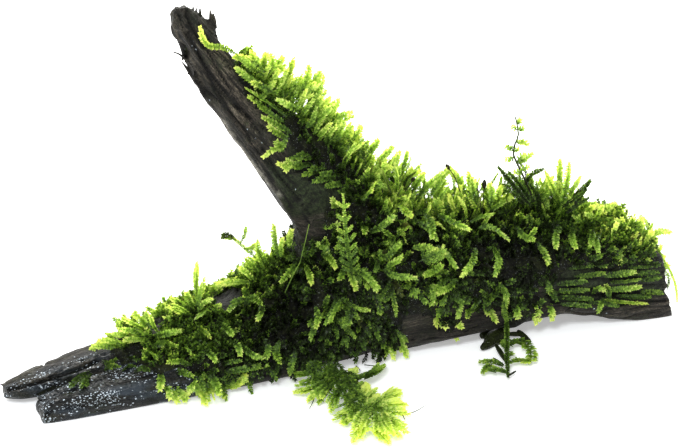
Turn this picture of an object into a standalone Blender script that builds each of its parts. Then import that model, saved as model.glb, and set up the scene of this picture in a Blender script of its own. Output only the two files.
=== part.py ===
"""Java moss on a small forked piece of driftwood that lies on a flat surface.

Lengths below are in millimetres, and each mesh is scaled to metres as it is made. X runs along the log from
its split left end to its squared right end, Y runs to the back, and Z is up from the surface it lies on.
"""

import math
import random

import bmesh
import bpy
from mathutils import Vector, noise

# Units, gaps and the frame
MM = 0.001
GAP = 0.3
MOSS_GAP = 0.35
FLOOR_GAP = 0.3
FOOTPRINT_CENTRE = Vector((1.9, -13.5, 0.0))
FAR = 400.0

# Where the wood forks, and where one clump of moss ends and the next begins
FORK_X = -10.0
SEAT_Z = 24.0
MOSS_SPLIT_X = -13.0
CLUMP_FRONT_Y = -17.5
CLUMP_LEFT_X = -24.0
CLUMP_RIGHT_X = 12.0
CLUMP_TOP_Z = 8.0
TRAIL_FRONT_Y = -15.6
TRAIL_LEFT_X = 22.0
TRAIL_RIGHT_X = 44.0
TRAIL_TOP_Z = 5.0
BRANCH_MOSS_FOOT = Vector((4.0, 0.0, 37.0))
BRANCH_LEAN = Vector((-0.6, 0.0, 0.8))

# The log's strands as boxes of cross section: x, front y, back y, low z, high z
TONGUE = (
    (-78.5, -3.4, 1.6, 1.2, 3.9),
    (-75.0, -5.0, 3.0, 1.0, 4.8),
    (-66.0, -5.4, 5.2, 1.0, 6.9),
    (-57.0, -5.6, 7.0, 0.4, 8.4),
    (-45.0, -6.4, 8.6, -0.8, 10.6),
    (-32.0, -8.0, 10.2, -1.4, 13.0),
    (-20.0, -9.0, 11.2, -1.4, 16.4),
    (-8.0, -10.0, 11.8, -1.4, 20.0),
)
LOBE = (
    (-72.6, -14.2, -6.6, -0.9, 4.2),
    (-66.0, -14.6, -5.4, -1.2, 5.6),
    (-52.0, -14.4, -4.0, -1.3, 7.2),
    (-38.0, -14.4, -3.0, -1.3, 9.2),
    (-24.0, -14.2, -1.0, -1.3, 11.6),
    (-8.0, -13.8, 2.0, -1.3, 14.0),
)
RIGHT_CORE = (
    (-12.0, -13.6, 12.0, -1.4, 23.0),
    (0.0, -13.4, 13.0, -0.8, 26.4),
    (12.0, -13.0, 13.0, 0.6, 26.6),
    (25.0, -12.8, 12.6, 1.8, 24.4),
    (40.0, -12.6, 12.0, 3.4, 22.4),
    (55.0, -12.8, 11.2, 4.6, 20.8),
    (64.0, -13.2, 10.6, 3.2, 20.2),
    (71.0, -13.4, 10.0, -0.6, 19.4),
    (76.4, -13.2, 9.0, -1.4, 16.8),
)
LEDGE = (
    (6.0, -11.4, -6.0, 0.8, 5.0),
    (24.0, -13.2, -6.0, 2.2, 7.2),
    (40.0, -13.8, -6.0, 3.6, 8.6),
    (57.0, -14.4, -6.0, 4.0, 8.8),
    (69.0, -14.8, -6.0, -0.4, 6.4),
    (77.8, -14.6, -6.0, -1.4, 5.2),
)

# The branch and the stub, tip first: x, y, z, half depth, half width
BRANCH = (
    (-34.9, 4.0, 84.2, 1.5, 1.4),
    (-33.8, 4.0, 81.6, 2.9, 3.0),
    (-31.4, 4.0, 76.8, 3.6, 4.0),
    (-27.0, 3.8, 68.9, 4.1, 5.0),
    (-21.7, 3.4, 60.9, 4.5, 5.8),
    (-15.4, 2.8, 52.5, 5.0, 6.8),
    (-9.2, 2.0, 44.0, 5.8, 8.2),
    (-3.2, 1.2, 36.4, 6.8, 9.8),
    (0.2, 0.4, 29.6, 7.8, 11.6),
    (1.4, 0.0, 21.0, 8.6, 12.2),
)
STUB = (
    (-24.2, 14.0, 7.6, 2.1, 2.4),
    (-21.0, 12.6, 7.9, 2.9, 3.0),
    (-17.0, 10.8, 8.2, 3.5, 3.7),
    (-11.0, 7.0, 8.4, 4.2, 4.4),
)
# Splinters at the broken tip and down the branch's left edge: root, point, half width
SPLINTERS = (
    ((-29.4, 4.0, 70.0), (-27.8, 3.2, 82.6), 1.5),
    ((-31.0, 5.0, 76.0), (-30.2, 5.4, 84.6), 1.8),
    ((-33.6, 3.0, 77.0), (-33.0, 2.4, 85.8), 2.0),
    ((-27.6, 2.0, 60.0), (-35.6, 0.8, 73.4), 0.9),
    ((-31.0, 3.0, 70.6), (-37.2, 2.4, 74.8), 0.8),
)
SPLINTER_BELT = 0.3

# The moss mats as boxes of cross section, like the log
LEFT_MAT = (
    (-58.0, -3.0, 4.4, 5.4, 8.8),
    (-50.0, -9.0, 8.4, 4.0, 10.8),
    (-42.0, -14.8, 10.6, 2.2, 12.8),
    (-34.0, -17.0, 12.2, 1.2, 15.6),
    (-26.0, -17.4, 13.8, 1.0, 18.4),
    (-18.0, -17.6, 14.8, 1.0, 22.8),
    (-10.0, -17.6, 15.2, 1.0, 28.6),
)
RIGHT_MAT = (
    (-16.0, -17.6, 15.2, 1.0, 25.6),
    (-6.0, -17.8, 15.6, 1.0, 30.4),
    (6.0, -17.4, 16.0, 2.4, 38.0),
    (16.0, -16.6, 16.0, 3.6, 38.0),
    (26.0, -16.0, 15.4, 4.8, 33.4),
    (37.0, -15.6, 14.8, 6.2, 29.8),
    (48.0, -15.6, 14.2, 7.2, 29.0),
    (57.0, -15.6, 13.4, 7.8, 25.6),
    (65.0, -15.6, 12.8, 8.0, 22.4),
    (72.6, -15.0, 10.8, 8.6, 20.4),
)
# Moss along the branch's upper side, tip first: x, y, z, half depth, half width
BRANCH_MAT = (
    (-23.6, 2.6, 74.0, 2.0, 1.2),
    (-18.6, 1.8, 67.0, 4.6, 2.8),
    (-12.6, 1.4, 59.4, 6.2, 4.0),
    (-5.6, 0.8, 51.6, 7.4, 5.0),
    (1.0, 0.2, 44.4, 8.6, 6.0),
    (7.6, 0.0, 36.0, 9.8, 7.4),
    (11.6, 0.0, 29.6, 10.4, 8.0),
)
# The clump that trails onto the surface: x, y, z, half width, half height
CLUMP = (
    (-7.4, -14.0, 4.0, 8.8, 3.8),
    (-8.4, -20.0, 3.2, 8.0, 3.2),
    (-8.6, -27.0, 2.6, 6.6, 2.6),
    (-8.0, -34.0, 2.0, 5.4, 2.0),
    (-7.4, -40.0, 1.6, 4.2, 1.5),
    (-6.8, -44.6, 1.2, 2.2, 1.0),
)

# Lone shoots: the length of the side fronds, then the points along the stem
TALL_SHOOT = (4.6, (49.0, -1.0, 25.0), (45.4, -0.6, 34.0), (43.2, -0.2, 41.4), (42.2, 0.0, 48.6))
TWIN_SHOOT = (4.8, (55.0, -1.0, 23.0), (54.6, 0.0, 31.0), (53.6, 0.6, 38.0))
TUFT_SHOOT = (3.6, (-37.0, -2.0, 13.0), (-35.6, -1.6, 19.0), (-34.7, -1.0, 25.6))
DROOPING_SHOOT = (2.2, (71.0, -7.0, 18.4), (77.4, -9.0, 18.4), (80.4, -9.4, 10.6), (82.0, -9.0, 3.6))
END_SHOOT = (3.0, (68.0, -4.0, 19.0), (75.0, -5.4, 19.8), (81.0, -6.0, 17.6))
CURLED_SHOOT = (2.6, (-16.0, -3.0, 62.0), (-23.0, -2.6, 71.4), (-26.6, -2.2, 75.0), (-28.2, -1.4, 79.0))
WILTED_SHOOT = (3.4, (-13.6, -2.0, 24.0), (-18.6, -1.6, 28.4), (-23.4, -1.2, 30.6), (-27.6, -1.0, 32.0))
TRAILING_SHOOT = (7.0, (36.0, -14.0, 4.6), (33.8, -20.0, 1.8), (31.4, -25.0, 1.3), (29.2, -29.6, 1.1))
STEM_HALF_WIDTH = 0.6
THIN_STEM_HALF_WIDTH = 0.45
STOUT_STEM_HALF_WIDTH = 0.9
STEM_FLATNESS = 0.8
STEM_RISE = 0.2
STEM_OVERLAP = 0.25
SIDE_FROND_AHEAD = 0.75
SIDE_FROND_TURN = (-0.2, 0.3)
SIDE_FROND_REACH = (0.7, 1.1)

# Spore capsules on their stalks: foot, capsule
CAPSULES = (
    ((31.0, -2.0, 24.0), (33.6, -3.0, 34.6)),
    ((22.0, -1.0, 29.0), (26.0, -1.0, 40.4)),
    ((15.0, -2.0, 31.0), (17.6, -2.6, 38.0)),
    ((29.0, -4.0, 25.0), (31.4, -5.0, 33.6)),
)
CAPSULE_RADIUS = 0.85
CAPSULE_HALF_LENGTH = 1.4
CAPSULE_TILT = 0.12
STALK_HALF_WIDTH = 0.35

# Fronds: the flat leafy shoots that stand out of a mat
FROND_HALF_WIDTH = 1.15
FROND_HALF_THICKNESS = 0.42
FROND_BELT = 0.42
FROND_BOW = (-0.3, 0.9)
FROND_ROOT_IN = 0.7
FROND_ROOT_BACK = 0.5
FROND_TIP_LIFT = 0.5
FROND_REACH = (0.75, 1.2)
FROND_LENGTH = 6.8
BRANCH_FROND_LENGTH = 8.0
CLUMP_FROND_LENGTH = 6.6
CREST_X = 26.0
CREST_SPREAD = 50.0
CREST_FOOT_Z = 18.0
CREST_RISE = 0.16

# Each mat's fronds: columns along it, lanes round it, and the arc of the lanes in degrees
LEFT_FRONDS = (10, 5, (-15, 215))
RIGHT_FRONDS = (15, 6, (-15, 215))
BRANCH_FRONDS = (9, 4, (20, 200))
CLUMP_FRONDS = (6, 3, (-10, 190))
COLUMN_JITTER = (0.05, 0.95)
LANE_JITTER = (0.1, 0.9)

# How fronds head: parts of the ways out of the mat, up and along it, on its top and on its flanks
OUT_ON_TOP = 0.75
OUT_ON_FLANK = 0.45
RISE_ON_TOP = 0.8
RISE_ON_FLANK = (-0.45, 0.35)
LEAN_ON_TOP = 0.45
LEAN_ON_FLANK = 1.0
HANG = 0.9
HANG_BELOW = 0.35
FACE_TURN = 0.3
BRANCH_OUT_ON_TOP = 0.9
BRANCH_OUT_ON_SIDE = 0.3
BRANCH_RISE = (0.3, 0.8)
BRANCH_CLIMB = (0.4, 1.0)
BRANCH_FACE_TURN = 0.2
CLUMP_OUT = 0.9
CLUMP_LIFT = 0.2
CLUMP_AHEAD = (0.2, 1.0)

# How far each broken or uneven end reaches past its last cross section
TONGUE_END = 3.0
LOBE_END = 0.8
LOG_END = 2.6
LEDGE_END = 1.2
BRANCH_END = 2.4
STUB_END = 1.6
MAT_END = 6.0

# Skins: ridges as (number round the body, strength, turn for each body, drift along it), and lumps
RIDGES = ((3, 0.55, 1.0, 0.22), (5, 0.45, 2.1, -0.22))
LUMPS_ALONG = 0.9
LUMPS_ROUND = 1.7
LUMP_SPACING = 9.0
BREAK_SPACING = 1.3

WOOD_SIDES = 12
THIN_WOOD_SIDES = 8
MOSS_SIDES = 11
CLUMP_SIDES = 9
SHARP_ANGLE = 40.0
NEARLY_PARALLEL = 0.1
SEED = 9

AXIS_X = Vector((1.0, 0.0, 0.0))
AXIS_Y = Vector((0.0, 1.0, 0.0))
AXIS_Z = Vector((0.0, 0.0, 1.0))


def clear_scene():
    for item in list(bpy.data.objects):
        bpy.data.objects.remove(item, do_unlink=True)


def material(name, colour, roughness):
    made = bpy.data.materials.new(name)
    made.use_nodes = True
    shader = made.node_tree.nodes["Principled BSDF"]
    shader.inputs["Base Color"].default_value = (*colour, 1.0)
    shader.inputs["Roughness"].default_value = roughness
    shader.inputs["Metallic"].default_value = 0.0
    return made


class Shape:
    """Vertices in millimetres and the faces between them, gathered from one or more closed bodies."""

    def __init__(self):
        self.points = []
        self.faces = []

    def add(self, points, faces):
        start = len(self.points)
        self.points += points
        self.faces += [[start + i for i in face] for face in faces]

    def as_object(self, name):
        mesh = bpy.data.meshes.new(name)
        placed = [(point - FOOTPRINT_CENTRE) * MM for point in self.points]
        mesh.from_pydata(placed, [], self.faces)
        mesh.update()
        made = bpy.data.objects.new(name, mesh)
        bpy.context.collection.objects.link(made)
        return made


def from_boxes(rows):
    """Cross sections given by their bounds, as centre and half sizes."""
    return [
        (x, (front + back) / 2, (low + high) / 2, (back - front) / 2, (high - low) / 2)
        for x, front, back, low, high in rows
    ]


def between(rows, steps):
    """The rows with more between them, on a smooth curve through all of them."""
    last = len(rows) - 1
    found = []
    for i in range(last):
        near = [rows[max(i - 1, 0)], rows[i], rows[i + 1], rows[min(i + 2, last)]]
        for step in range(steps):
            t = step / steps
            found.append(
                [
                    b + (c - a) * t / 2 + (2 * a - 5 * b + 4 * c - d) * t * t / 2
                    + (3 * b - a - 3 * c + d) * t**3 / 2
                    for a, b, c, d in zip(*near)
                ]
            )
    found.append(list(rows[-1]))
    return found


def mix(low, high, share):
    return low + (high - low) * share


def rounded(value, power):
    return math.copysign(abs(value) ** power, value)


class Loft:
    """A closed body through cross sections, with ridges or lumps in its skin.

    across is the direction of the first half size. The second lies square to it and to the heading, which is
    the path's own direction where none is given. ends says how unevenly the first and the last end are broken.
    """

    def __init__(
        self, rows, seed, sides, heading=None, across=AXIS_Y, ends=(0.0, 0.0), steps=2,
        ridge=0.0, lump=0.0, power=0.8,
    ):
        self.rows = between(rows, steps)
        self.seed = seed
        self.sides = sides
        self.heading = heading
        self.across = across
        self.ends = ends
        self.ridge = ridge
        self.lump = lump
        self.power = power

    def row(self, place):
        low = min(int(place), len(self.rows) - 2)
        part = place - low
        return [mix(a, b, part) for a, b in zip(self.rows[low], self.rows[low + 1])]

    def ways(self, place):
        """The directions along the path, across it and up from it."""
        last = len(self.rows) - 1
        before = Vector(self.row(max(place - 1, 0))[:3])
        after = Vector(self.row(min(place + 1, last))[:3])
        along = self.heading or (after - before).normalized()
        across = (self.across - along * along.dot(self.across)).normalized()
        return along, across, along.cross(across)

    def skin(self, place, angle, grow=0.0):
        """A point on the body's skin, at a place along the rows and an angle round them."""
        x, y, z, half_across, half_up = self.row(place)
        along, across, up = self.ways(place)
        grain = sum(
            strength * math.sin(count * angle + turn * self.seed + drift * place)
            for count, strength, turn, drift in RIDGES
        )
        around = Vector((math.cos(angle), math.sin(angle))) * LUMPS_ROUND
        spot = Vector((place * LUMPS_ALONG, around.x, around.y + LUMP_SPACING * self.seed))
        bulge = 1 + self.ridge * grain + self.lump * noise.noise(spot)
        sideways = rounded(math.cos(angle), self.power) * (half_across * bulge + grow)
        upward = rounded(math.sin(angle), self.power) * (half_up * bulge + grow)
        return Vector((x, y, z)) + across * sideways + up * upward

    def add_to(self, shape, grow=0.0):
        last = len(self.rows) - 1
        sides = self.sides
        points = []
        for i in range(last + 1):
            along = self.ways(i)[0]
            for k in range(sides):
                angle = 2 * math.pi * k / sides
                point = self.skin(i, angle, grow)
                if i in (0, last):
                    outward = -along if i == 0 else along
                    broken = noise.noise(Vector((BREAK_SPACING * k, self.seed, i))) * self.ends[i > 0]
                    point = point + outward * (grow + broken)
                points.append(point)
        faces = []
        for i in range(last):
            for k in range(sides):
                a, b = i * sides + k, i * sides + (k + 1) % sides
                faces += [[a, b, b + sides], [a, b + sides, a + sides]]
        rings = points[:sides], points[-sides:]
        first_centre = len(points)
        points += [sum(ring, Vector()) / sides for ring in rings]
        for k in range(sides):
            a, b = k, (k + 1) % sides
            faces += [[b, a, first_centre], [last * sides + a, last * sides + b, first_centre + 1]]
        shape.add(points, faces)


def add_blade(shape, root, tip, face, half_width, half_thickness, bow=0.0, belt=FROND_BELT):
    """A flat pointed blade from root to tip. face is the way that its flat side looks."""
    along = (tip - root).normalized()
    side = along.cross(face)
    if side.length < NEARLY_PARALLEL:
        side = along.cross(AXIS_X + AXIS_Z)
    side.normalize()
    out = side.cross(along)
    middle = root.lerp(tip, belt) + out * bow
    ring = [
        middle + side * half_width,
        middle + out * half_thickness,
        middle - side * half_width,
        middle - out * half_thickness,
    ]
    faces = []
    for k in range(4):
        after = (k + 1) % 4
        faces += [[0, 2 + after, 2 + k], [1, 2 + k, 2 + after]]
    shape.add([root, tip, *ring], faces)


def add_box(shape, low, high):
    xs, ys, zs = zip(low, high)
    corners = [Vector((x, y, z)) for x in xs for y in ys for z in zs]
    faces = [[0, 1, 3, 2], [4, 6, 7, 5], [0, 4, 5, 1], [2, 3, 7, 6], [0, 2, 6, 4], [1, 5, 7, 3]]
    shape.add(corners, faces)


def add_half_space(shape, point, normal):
    """A great slab that fills the side of a plane that its normal looks to."""
    normal = normal.normalized()
    side = normal.cross(AXIS_Y).normalized()
    other = normal.cross(side)
    square = [side + other, other - side, -side - other, side - other]
    near = [point + corner * FAR for corner in square]
    far = [corner + normal * FAR for corner in near]
    faces = [[0, 3, 2, 1], [4, 5, 6, 7]]
    faces += [[k, (k + 1) % 4, 4 + (k + 1) % 4, 4 + k] for k in range(4)]
    shape.add(near + far, faces)


def facing_out(target):
    """Turns the faces of every closed body in the mesh outwards."""
    work = bmesh.new()
    work.from_mesh(target.data)
    bmesh.ops.recalc_face_normals(work, faces=work.faces)
    work.to_mesh(target.data)
    work.free()


def combine(target, other, operation):
    """Fuses or cuts by another mesh. What is fused may overlap itself, as crossing fronds do."""
    facing_out(other)
    other.hide_render = True
    other.display_type = "WIRE"
    cut = target.modifiers.new(operation.lower(), "BOOLEAN")
    cut.operation = operation
    cut.solver = "EXACT"
    cut.use_self = operation == "UNION"
    cut.object = other
    return other


def keep_one_body(target):
    """Applies the modifiers and drops crumbs that a cut has parted from the largest body."""
    seen = target.evaluated_get(bpy.context.evaluated_depsgraph_get())
    work = bmesh.new()
    work.from_mesh(seen.to_mesh())
    seen.to_mesh_clear()
    target.modifiers.clear()
    bmesh.ops.triangulate(work, faces=work.faces)
    left = set(work.verts)
    bodies = []
    while left:
        body, todo = set(), [left.pop()]
        while todo:
            vert = todo.pop()
            body.add(vert)
            for edge in vert.link_edges:
                near = edge.other_vert(vert)
                if near in left:
                    left.remove(near)
                    todo.append(near)
        bodies.append(body)
    bodies.sort(key=len)
    crumbs = [vert for body in bodies[:-1] for vert in body]
    bmesh.ops.delete(work, geom=crumbs, context="VERTS")
    work.to_mesh(target.data)
    work.free()


def finished(name, base, added, removed, finish):
    """One node: the base with what is fused to it, less each shape that has to stay clear of it."""
    made = base.as_object(name)
    facing_out(made)
    helpers = []
    if added:
        helpers.append(combine(made, added.as_object(name + "_added"), "UNION"))
    for shape in removed:
        helpers.append(combine(made, shape.as_object(name + "_removed"), "DIFFERENCE"))
    keep_one_body(made)
    for helper in helpers:
        bpy.data.objects.remove(helper, do_unlink=True)
    made.data.materials.append(finish)
    made.data.shade_smooth()
    made.data.set_sharp_from_angle(angle=math.radians(SHARP_ANGLE))
    return made


def box(low, high):
    shape = Shape()
    add_box(shape, low, high)
    return shape


def below_floor(height=0.0):
    return box((-FAR, -FAR, -FAR), (FAR, FAR, height))


def half_space(point, normal):
    shape = Shape()
    add_half_space(shape, point, normal)
    return shape


TONGUE_LOFT = Loft(from_boxes(TONGUE), 1.0, WOOD_SIDES, AXIS_X, ends=(TONGUE_END, 0.0), ridge=0.07)
LOBE_LOFT = Loft(from_boxes(LOBE), 2.0, WOOD_SIDES, AXIS_X, ends=(LOBE_END, 0.0), ridge=0.05)
CORE_LOFT = Loft(from_boxes(RIGHT_CORE), 3.0, WOOD_SIDES, AXIS_X, ends=(0.0, LOG_END), ridge=0.05, power=0.7)
LEDGE_LOFT = Loft(from_boxes(LEDGE), 4.0, THIN_WOOD_SIDES, AXIS_X, ends=(0.0, LEDGE_END), ridge=0.04)
BRANCH_LOFT = Loft(BRANCH, 5.0, WOOD_SIDES, ends=(BRANCH_END, 0.0), ridge=0.07)
STUB_LOFT = Loft(STUB, 6.0, THIN_WOOD_SIDES, ends=(STUB_END, 0.0), steps=1, ridge=0.05)
LEFT_MAT_LOFT = Loft(from_boxes(LEFT_MAT), 11.0, MOSS_SIDES, AXIS_X, ends=(MAT_END, 0.0), lump=0.34, power=0.9)
RIGHT_MAT_LOFT = Loft(from_boxes(RIGHT_MAT), 12.0, MOSS_SIDES, AXIS_X, ends=(0.0, MAT_END), lump=0.3, power=0.9)
BRANCH_MAT_LOFT = Loft(BRANCH_MAT, 13.0, MOSS_SIDES, lump=0.4, power=0.9)
CLUMP_LOFT = Loft(CLUMP, 14.0, CLUMP_SIDES, -AXIS_Y, across=AXIS_X, lump=0.4, power=0.9)
WOOD_LOFTS = (TONGUE_LOFT, LOBE_LOFT, CORE_LOFT, LEDGE_LOFT, BRANCH_LOFT, STUB_LOFT)


def left_limb(wood):
    base, added = Shape(), Shape()
    TONGUE_LOFT.add_to(base)
    LOBE_LOFT.add_to(added)
    past_fork = box((FORK_X - GAP / 2, -FAR, -FAR), (FAR, FAR, FAR))
    finished("left_limb", base, added, [past_fork, below_floor()], wood)


def right_limb(wood):
    base, added = Shape(), Shape()
    CORE_LOFT.add_to(base)
    LEDGE_LOFT.add_to(added)
    past_fork = box((-FAR, -FAR, -FAR), (FORK_X + GAP / 2, FAR, FAR))
    seat = box((-FAR, -FAR, SEAT_Z - GAP / 2), (FAR, FAR, FAR))
    finished("right_limb", base, added, [past_fork, seat, below_floor()], wood)


def branch(wood):
    base, added = Shape(), Shape()
    BRANCH_LOFT.add_to(base)
    for root, point, half_width in SPLINTERS:
        add_blade(added, Vector(root), Vector(point), AXIS_Y, half_width, half_width, belt=SPLINTER_BELT)
    under_seat = box((-FAR, -FAR, -FAR), (FAR, FAR, SEAT_Z + GAP / 2))
    finished("branch", base, added, [under_seat], wood)


def rear_stub(wood):
    base = Shape()
    STUB_LOFT.add_to(base)
    log = grown((TONGUE_LOFT, LOBE_LOFT, CORE_LOFT), GAP)
    finished("rear_stub", base, None, log, wood)


def grown(lofts, gap):
    """Each strand of wood with a gap round it."""
    shapes = []
    for loft in lofts:
        shapes.append(Shape())
        loft.add_to(shapes[-1], grow=gap)
    return shapes


def add_shoot(shape, shoot, rng, face, half_width=STEM_HALF_WIDTH):
    """A branched shoot along its points, with a pair of side fronds at each of them."""
    side_length, *points = shoot
    points = [Vector(point) for point in points]
    for start, end in zip(points, points[1:]):
        lead = (end - start) * STEM_OVERLAP
        add_blade(shape, start - lead, end + lead, face, half_width, half_width * STEM_FLATNESS)
        along = (end - start).normalized()
        side = along.cross(face).normalized()
        for turn in (-1, 1):
            way = along * SIDE_FROND_AHEAD + side * turn + face * rng.uniform(*SIDE_FROND_TURN)
            tip = end - lead + way.normalized() * side_length * rng.uniform(*SIDE_FROND_REACH)
            add_blade(shape, end - lead * 2, tip, face, FROND_HALF_WIDTH, FROND_HALF_THICKNESS)


def add_fronds(shape, loft, rng, spread, length, heading):
    """Fronds in jittered columns along a mat and lanes round it, each headed as its place asks."""
    columns, lanes, arc = spread
    last = len(loft.rows) - 1
    first_angle, last_angle = (math.radians(degrees) for degrees in arc)
    for column in range(columns):
        for lane in range(lanes):
            share = (lane + rng.uniform(*LANE_JITTER)) / lanes
            place = last * (column + rng.uniform(*COLUMN_JITTER)) / columns
            angle = mix(first_angle, last_angle, share)
            foot = loft.skin(place, angle)
            along = loft.ways(place)[0]
            out = (foot - Vector(loft.row(place)[:3])).normalized()
            way, face = heading(out, along, rng)
            way.normalize()
            reach = length(foot) * rng.uniform(*FROND_REACH)
            root = foot - out * FROND_ROOT_IN - way * FROND_ROOT_BACK
            tip = foot + way * reach
            tip.z = max(tip.z, FLOOR_GAP + FROND_TIP_LIFT)
            bow = rng.uniform(*FROND_BOW)
            add_blade(shape, root, tip, face, FROND_HALF_WIDTH, FROND_HALF_THICKNESS, bow)


def log_heading(out, along, rng):
    """On top fronds stand up, on the flanks they lie close, and low down they hang."""
    upright = max(0.0, out.z) ** 2
    flank = 1 - upright
    hang = -HANG * max(0.0, HANG_BELOW - out.z)
    lean = rng.uniform(-1.0, 1.0) * mix(LEAN_ON_TOP, LEAN_ON_FLANK, flank)
    rise = upright * RISE_ON_TOP + flank * (hang + rng.uniform(*RISE_ON_FLANK))
    way = out * mix(OUT_ON_FLANK, OUT_ON_TOP, upright) + AXIS_Z * rise + along * lean
    face = out * flank - AXIS_Y * upright + along * rng.uniform(-FACE_TURN, FACE_TURN)
    return way, face.normalized()


def branch_heading(out, along, rng):
    """Fronds stand up from the branch's upper edge, and lie up along its front and back."""
    side = abs(out.y)
    way = out * mix(BRANCH_OUT_ON_TOP, BRANCH_OUT_ON_SIDE, side)
    way += AXIS_Z * rng.uniform(*BRANCH_RISE) - along * side * rng.uniform(*BRANCH_CLIMB)
    turn = rng.uniform(-BRANCH_FACE_TURN, BRANCH_FACE_TURN)
    face = out * side - AXIS_Y * (1 - side) + along * turn
    return way, face.normalized()


def clump_heading(out, along, rng):
    """Fronds spread over the surface, forwards and to both sides."""
    flat = Vector((out.x, 0.0, CLUMP_LIFT * out.z))
    return flat * CLUMP_OUT + along * rng.uniform(*CLUMP_AHEAD), AXIS_Z


def mat_frond_length(foot):
    """Fronds are longest over the right limb's crest, and short at both ends."""
    from_crest = abs(foot.x - CREST_X) / CREST_SPREAD
    return FROND_LENGTH + CREST_RISE * max(0.0, 1 - from_crest) * max(0.0, foot.z - CREST_FOOT_Z)


def add_capsules(shape):
    for foot, top in CAPSULES:
        foot, top = Vector(foot), Vector(top)
        along = (top - foot).normalized()
        add_blade(shape, foot, top, AXIS_Y, STALK_HALF_WIDTH, STALK_HALF_WIDTH, belt=0.5)
        tilted = (along + AXIS_X * CAPSULE_TILT).normalized() * CAPSULE_HALF_LENGTH
        low, high = top - tilted, top + tilted
        add_blade(shape, low, high, AXIS_X - AXIS_Y, CAPSULE_RADIUS, CAPSULE_RADIUS, belt=0.5)


def clump_place():
    """The room in front of the mats that the hanging clump has to itself."""
    return box((CLUMP_LEFT_X, -FAR, -FAR), (CLUMP_RIGHT_X, CLUMP_FRONT_Y + GAP / 2, CLUMP_TOP_Z))


def left_moss_mat(moss):
    rng = random.Random(SEED + 1)
    base, added = Shape(), Shape()
    LEFT_MAT_LOFT.add_to(base)
    add_fronds(added, LEFT_MAT_LOFT, rng, LEFT_FRONDS, mat_frond_length, log_heading)
    add_shoot(added, WILTED_SHOOT, rng, -AXIS_Y)
    add_shoot(added, TUFT_SHOOT, rng, -AXIS_Y)
    past_split = box((MOSS_SPLIT_X - GAP / 2, -FAR, -FAR), (FAR, FAR, FAR))
    removed = [*grown(WOOD_LOFTS, MOSS_GAP), past_split, clump_place(), below_floor(FLOOR_GAP)]
    finished("left_moss_mat", base, added, removed, moss)


def right_moss_mat(moss):
    rng = random.Random(SEED + 2)
    base, added = Shape(), Shape()
    RIGHT_MAT_LOFT.add_to(base)
    add_fronds(added, RIGHT_MAT_LOFT, rng, RIGHT_FRONDS, mat_frond_length, log_heading)
    add_shoot(added, TALL_SHOOT, rng, -AXIS_Y)
    add_shoot(added, TWIN_SHOOT, rng, -AXIS_Y)
    add_shoot(added, DROOPING_SHOOT, rng, -AXIS_Y, THIN_STEM_HALF_WIDTH)
    add_shoot(added, END_SHOOT, rng, -AXIS_Y)
    add_capsules(added)
    removed = [
        *grown(WOOD_LOFTS, MOSS_GAP),
        box((-FAR, -FAR, -FAR), (MOSS_SPLIT_X + GAP / 2, FAR, FAR)),
        clump_place(),
        box((TRAIL_LEFT_X, -FAR, -FAR), (TRAIL_RIGHT_X, TRAIL_FRONT_Y + GAP / 2, TRAIL_TOP_Z)),
        half_space(BRANCH_MOSS_FOOT, BRANCH_LEAN),
        below_floor(FLOOR_GAP),
    ]
    finished("right_moss_mat", base, added, removed, moss)


def branch_moss(moss):
    rng = random.Random(SEED + 3)
    base, added = Shape(), Shape()
    BRANCH_MAT_LOFT.add_to(base)
    add_fronds(added, BRANCH_MAT_LOFT, rng, BRANCH_FRONDS, lambda foot: BRANCH_FROND_LENGTH, branch_heading)
    add_shoot(added, CURLED_SHOOT, rng, -AXIS_Y)
    past_foot = half_space(BRANCH_MOSS_FOOT + BRANCH_LEAN * GAP, -BRANCH_LEAN)
    finished("branch_moss", base, added, [*grown(WOOD_LOFTS, MOSS_GAP), past_foot], moss)


def hanging_clump(moss):
    rng = random.Random(SEED + 4)
    base, added = Shape(), Shape()
    CLUMP_LOFT.add_to(base)
    add_fronds(added, CLUMP_LOFT, rng, CLUMP_FRONDS, lambda foot: CLUMP_FROND_LENGTH, clump_heading)
    behind = box((-FAR, CLUMP_FRONT_Y - GAP / 2, -FAR), (FAR, FAR, FAR))
    finished("hanging_clump", base, added, [behind, below_floor(FLOOR_GAP)], moss)


def trailing_frond(moss):
    rng = random.Random(SEED + 5)
    base, added = Shape(), Shape()
    root, tip = Vector(TRAILING_SHOOT[1]), Vector(TRAILING_SHOOT[-1])
    add_blade(base, root, tip + AXIS_Z * STEM_RISE, AXIS_Z, STOUT_STEM_HALF_WIDTH, STEM_HALF_WIDTH)
    add_shoot(added, TRAILING_SHOOT, rng, AXIS_Z, STOUT_STEM_HALF_WIDTH)
    behind = box((-FAR, TRAIL_FRONT_Y - GAP / 2, -FAR), (FAR, FAR, FAR))
    finished("trailing_frond", base, added, [behind, below_floor(FLOOR_GAP)], moss)


def main():
    clear_scene()
    wood = material("wet_driftwood", (0.035, 0.028, 0.024), 0.38)
    moss = material("java_moss", (0.11, 0.24, 0.02), 0.6)
    left_limb(wood)
    right_limb(wood)
    branch(wood)
    rear_stub(wood)
    left_moss_mat(moss)
    right_moss_mat(moss)
    branch_moss(moss)
    hanging_clump(moss)
    trailing_frond(moss)


main()
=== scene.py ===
"""Looks of the java moss on driftwood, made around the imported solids.

Places are worked out in millimetres in the design's own frame: X along the log from its split left end, Y to
the back, Z up from the surface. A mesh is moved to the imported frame, in metres, when it is made.
"""

import math

import bpy
import numpy as np
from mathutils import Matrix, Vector, noise
from mathutils.bvhtree import BVHTree


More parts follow.
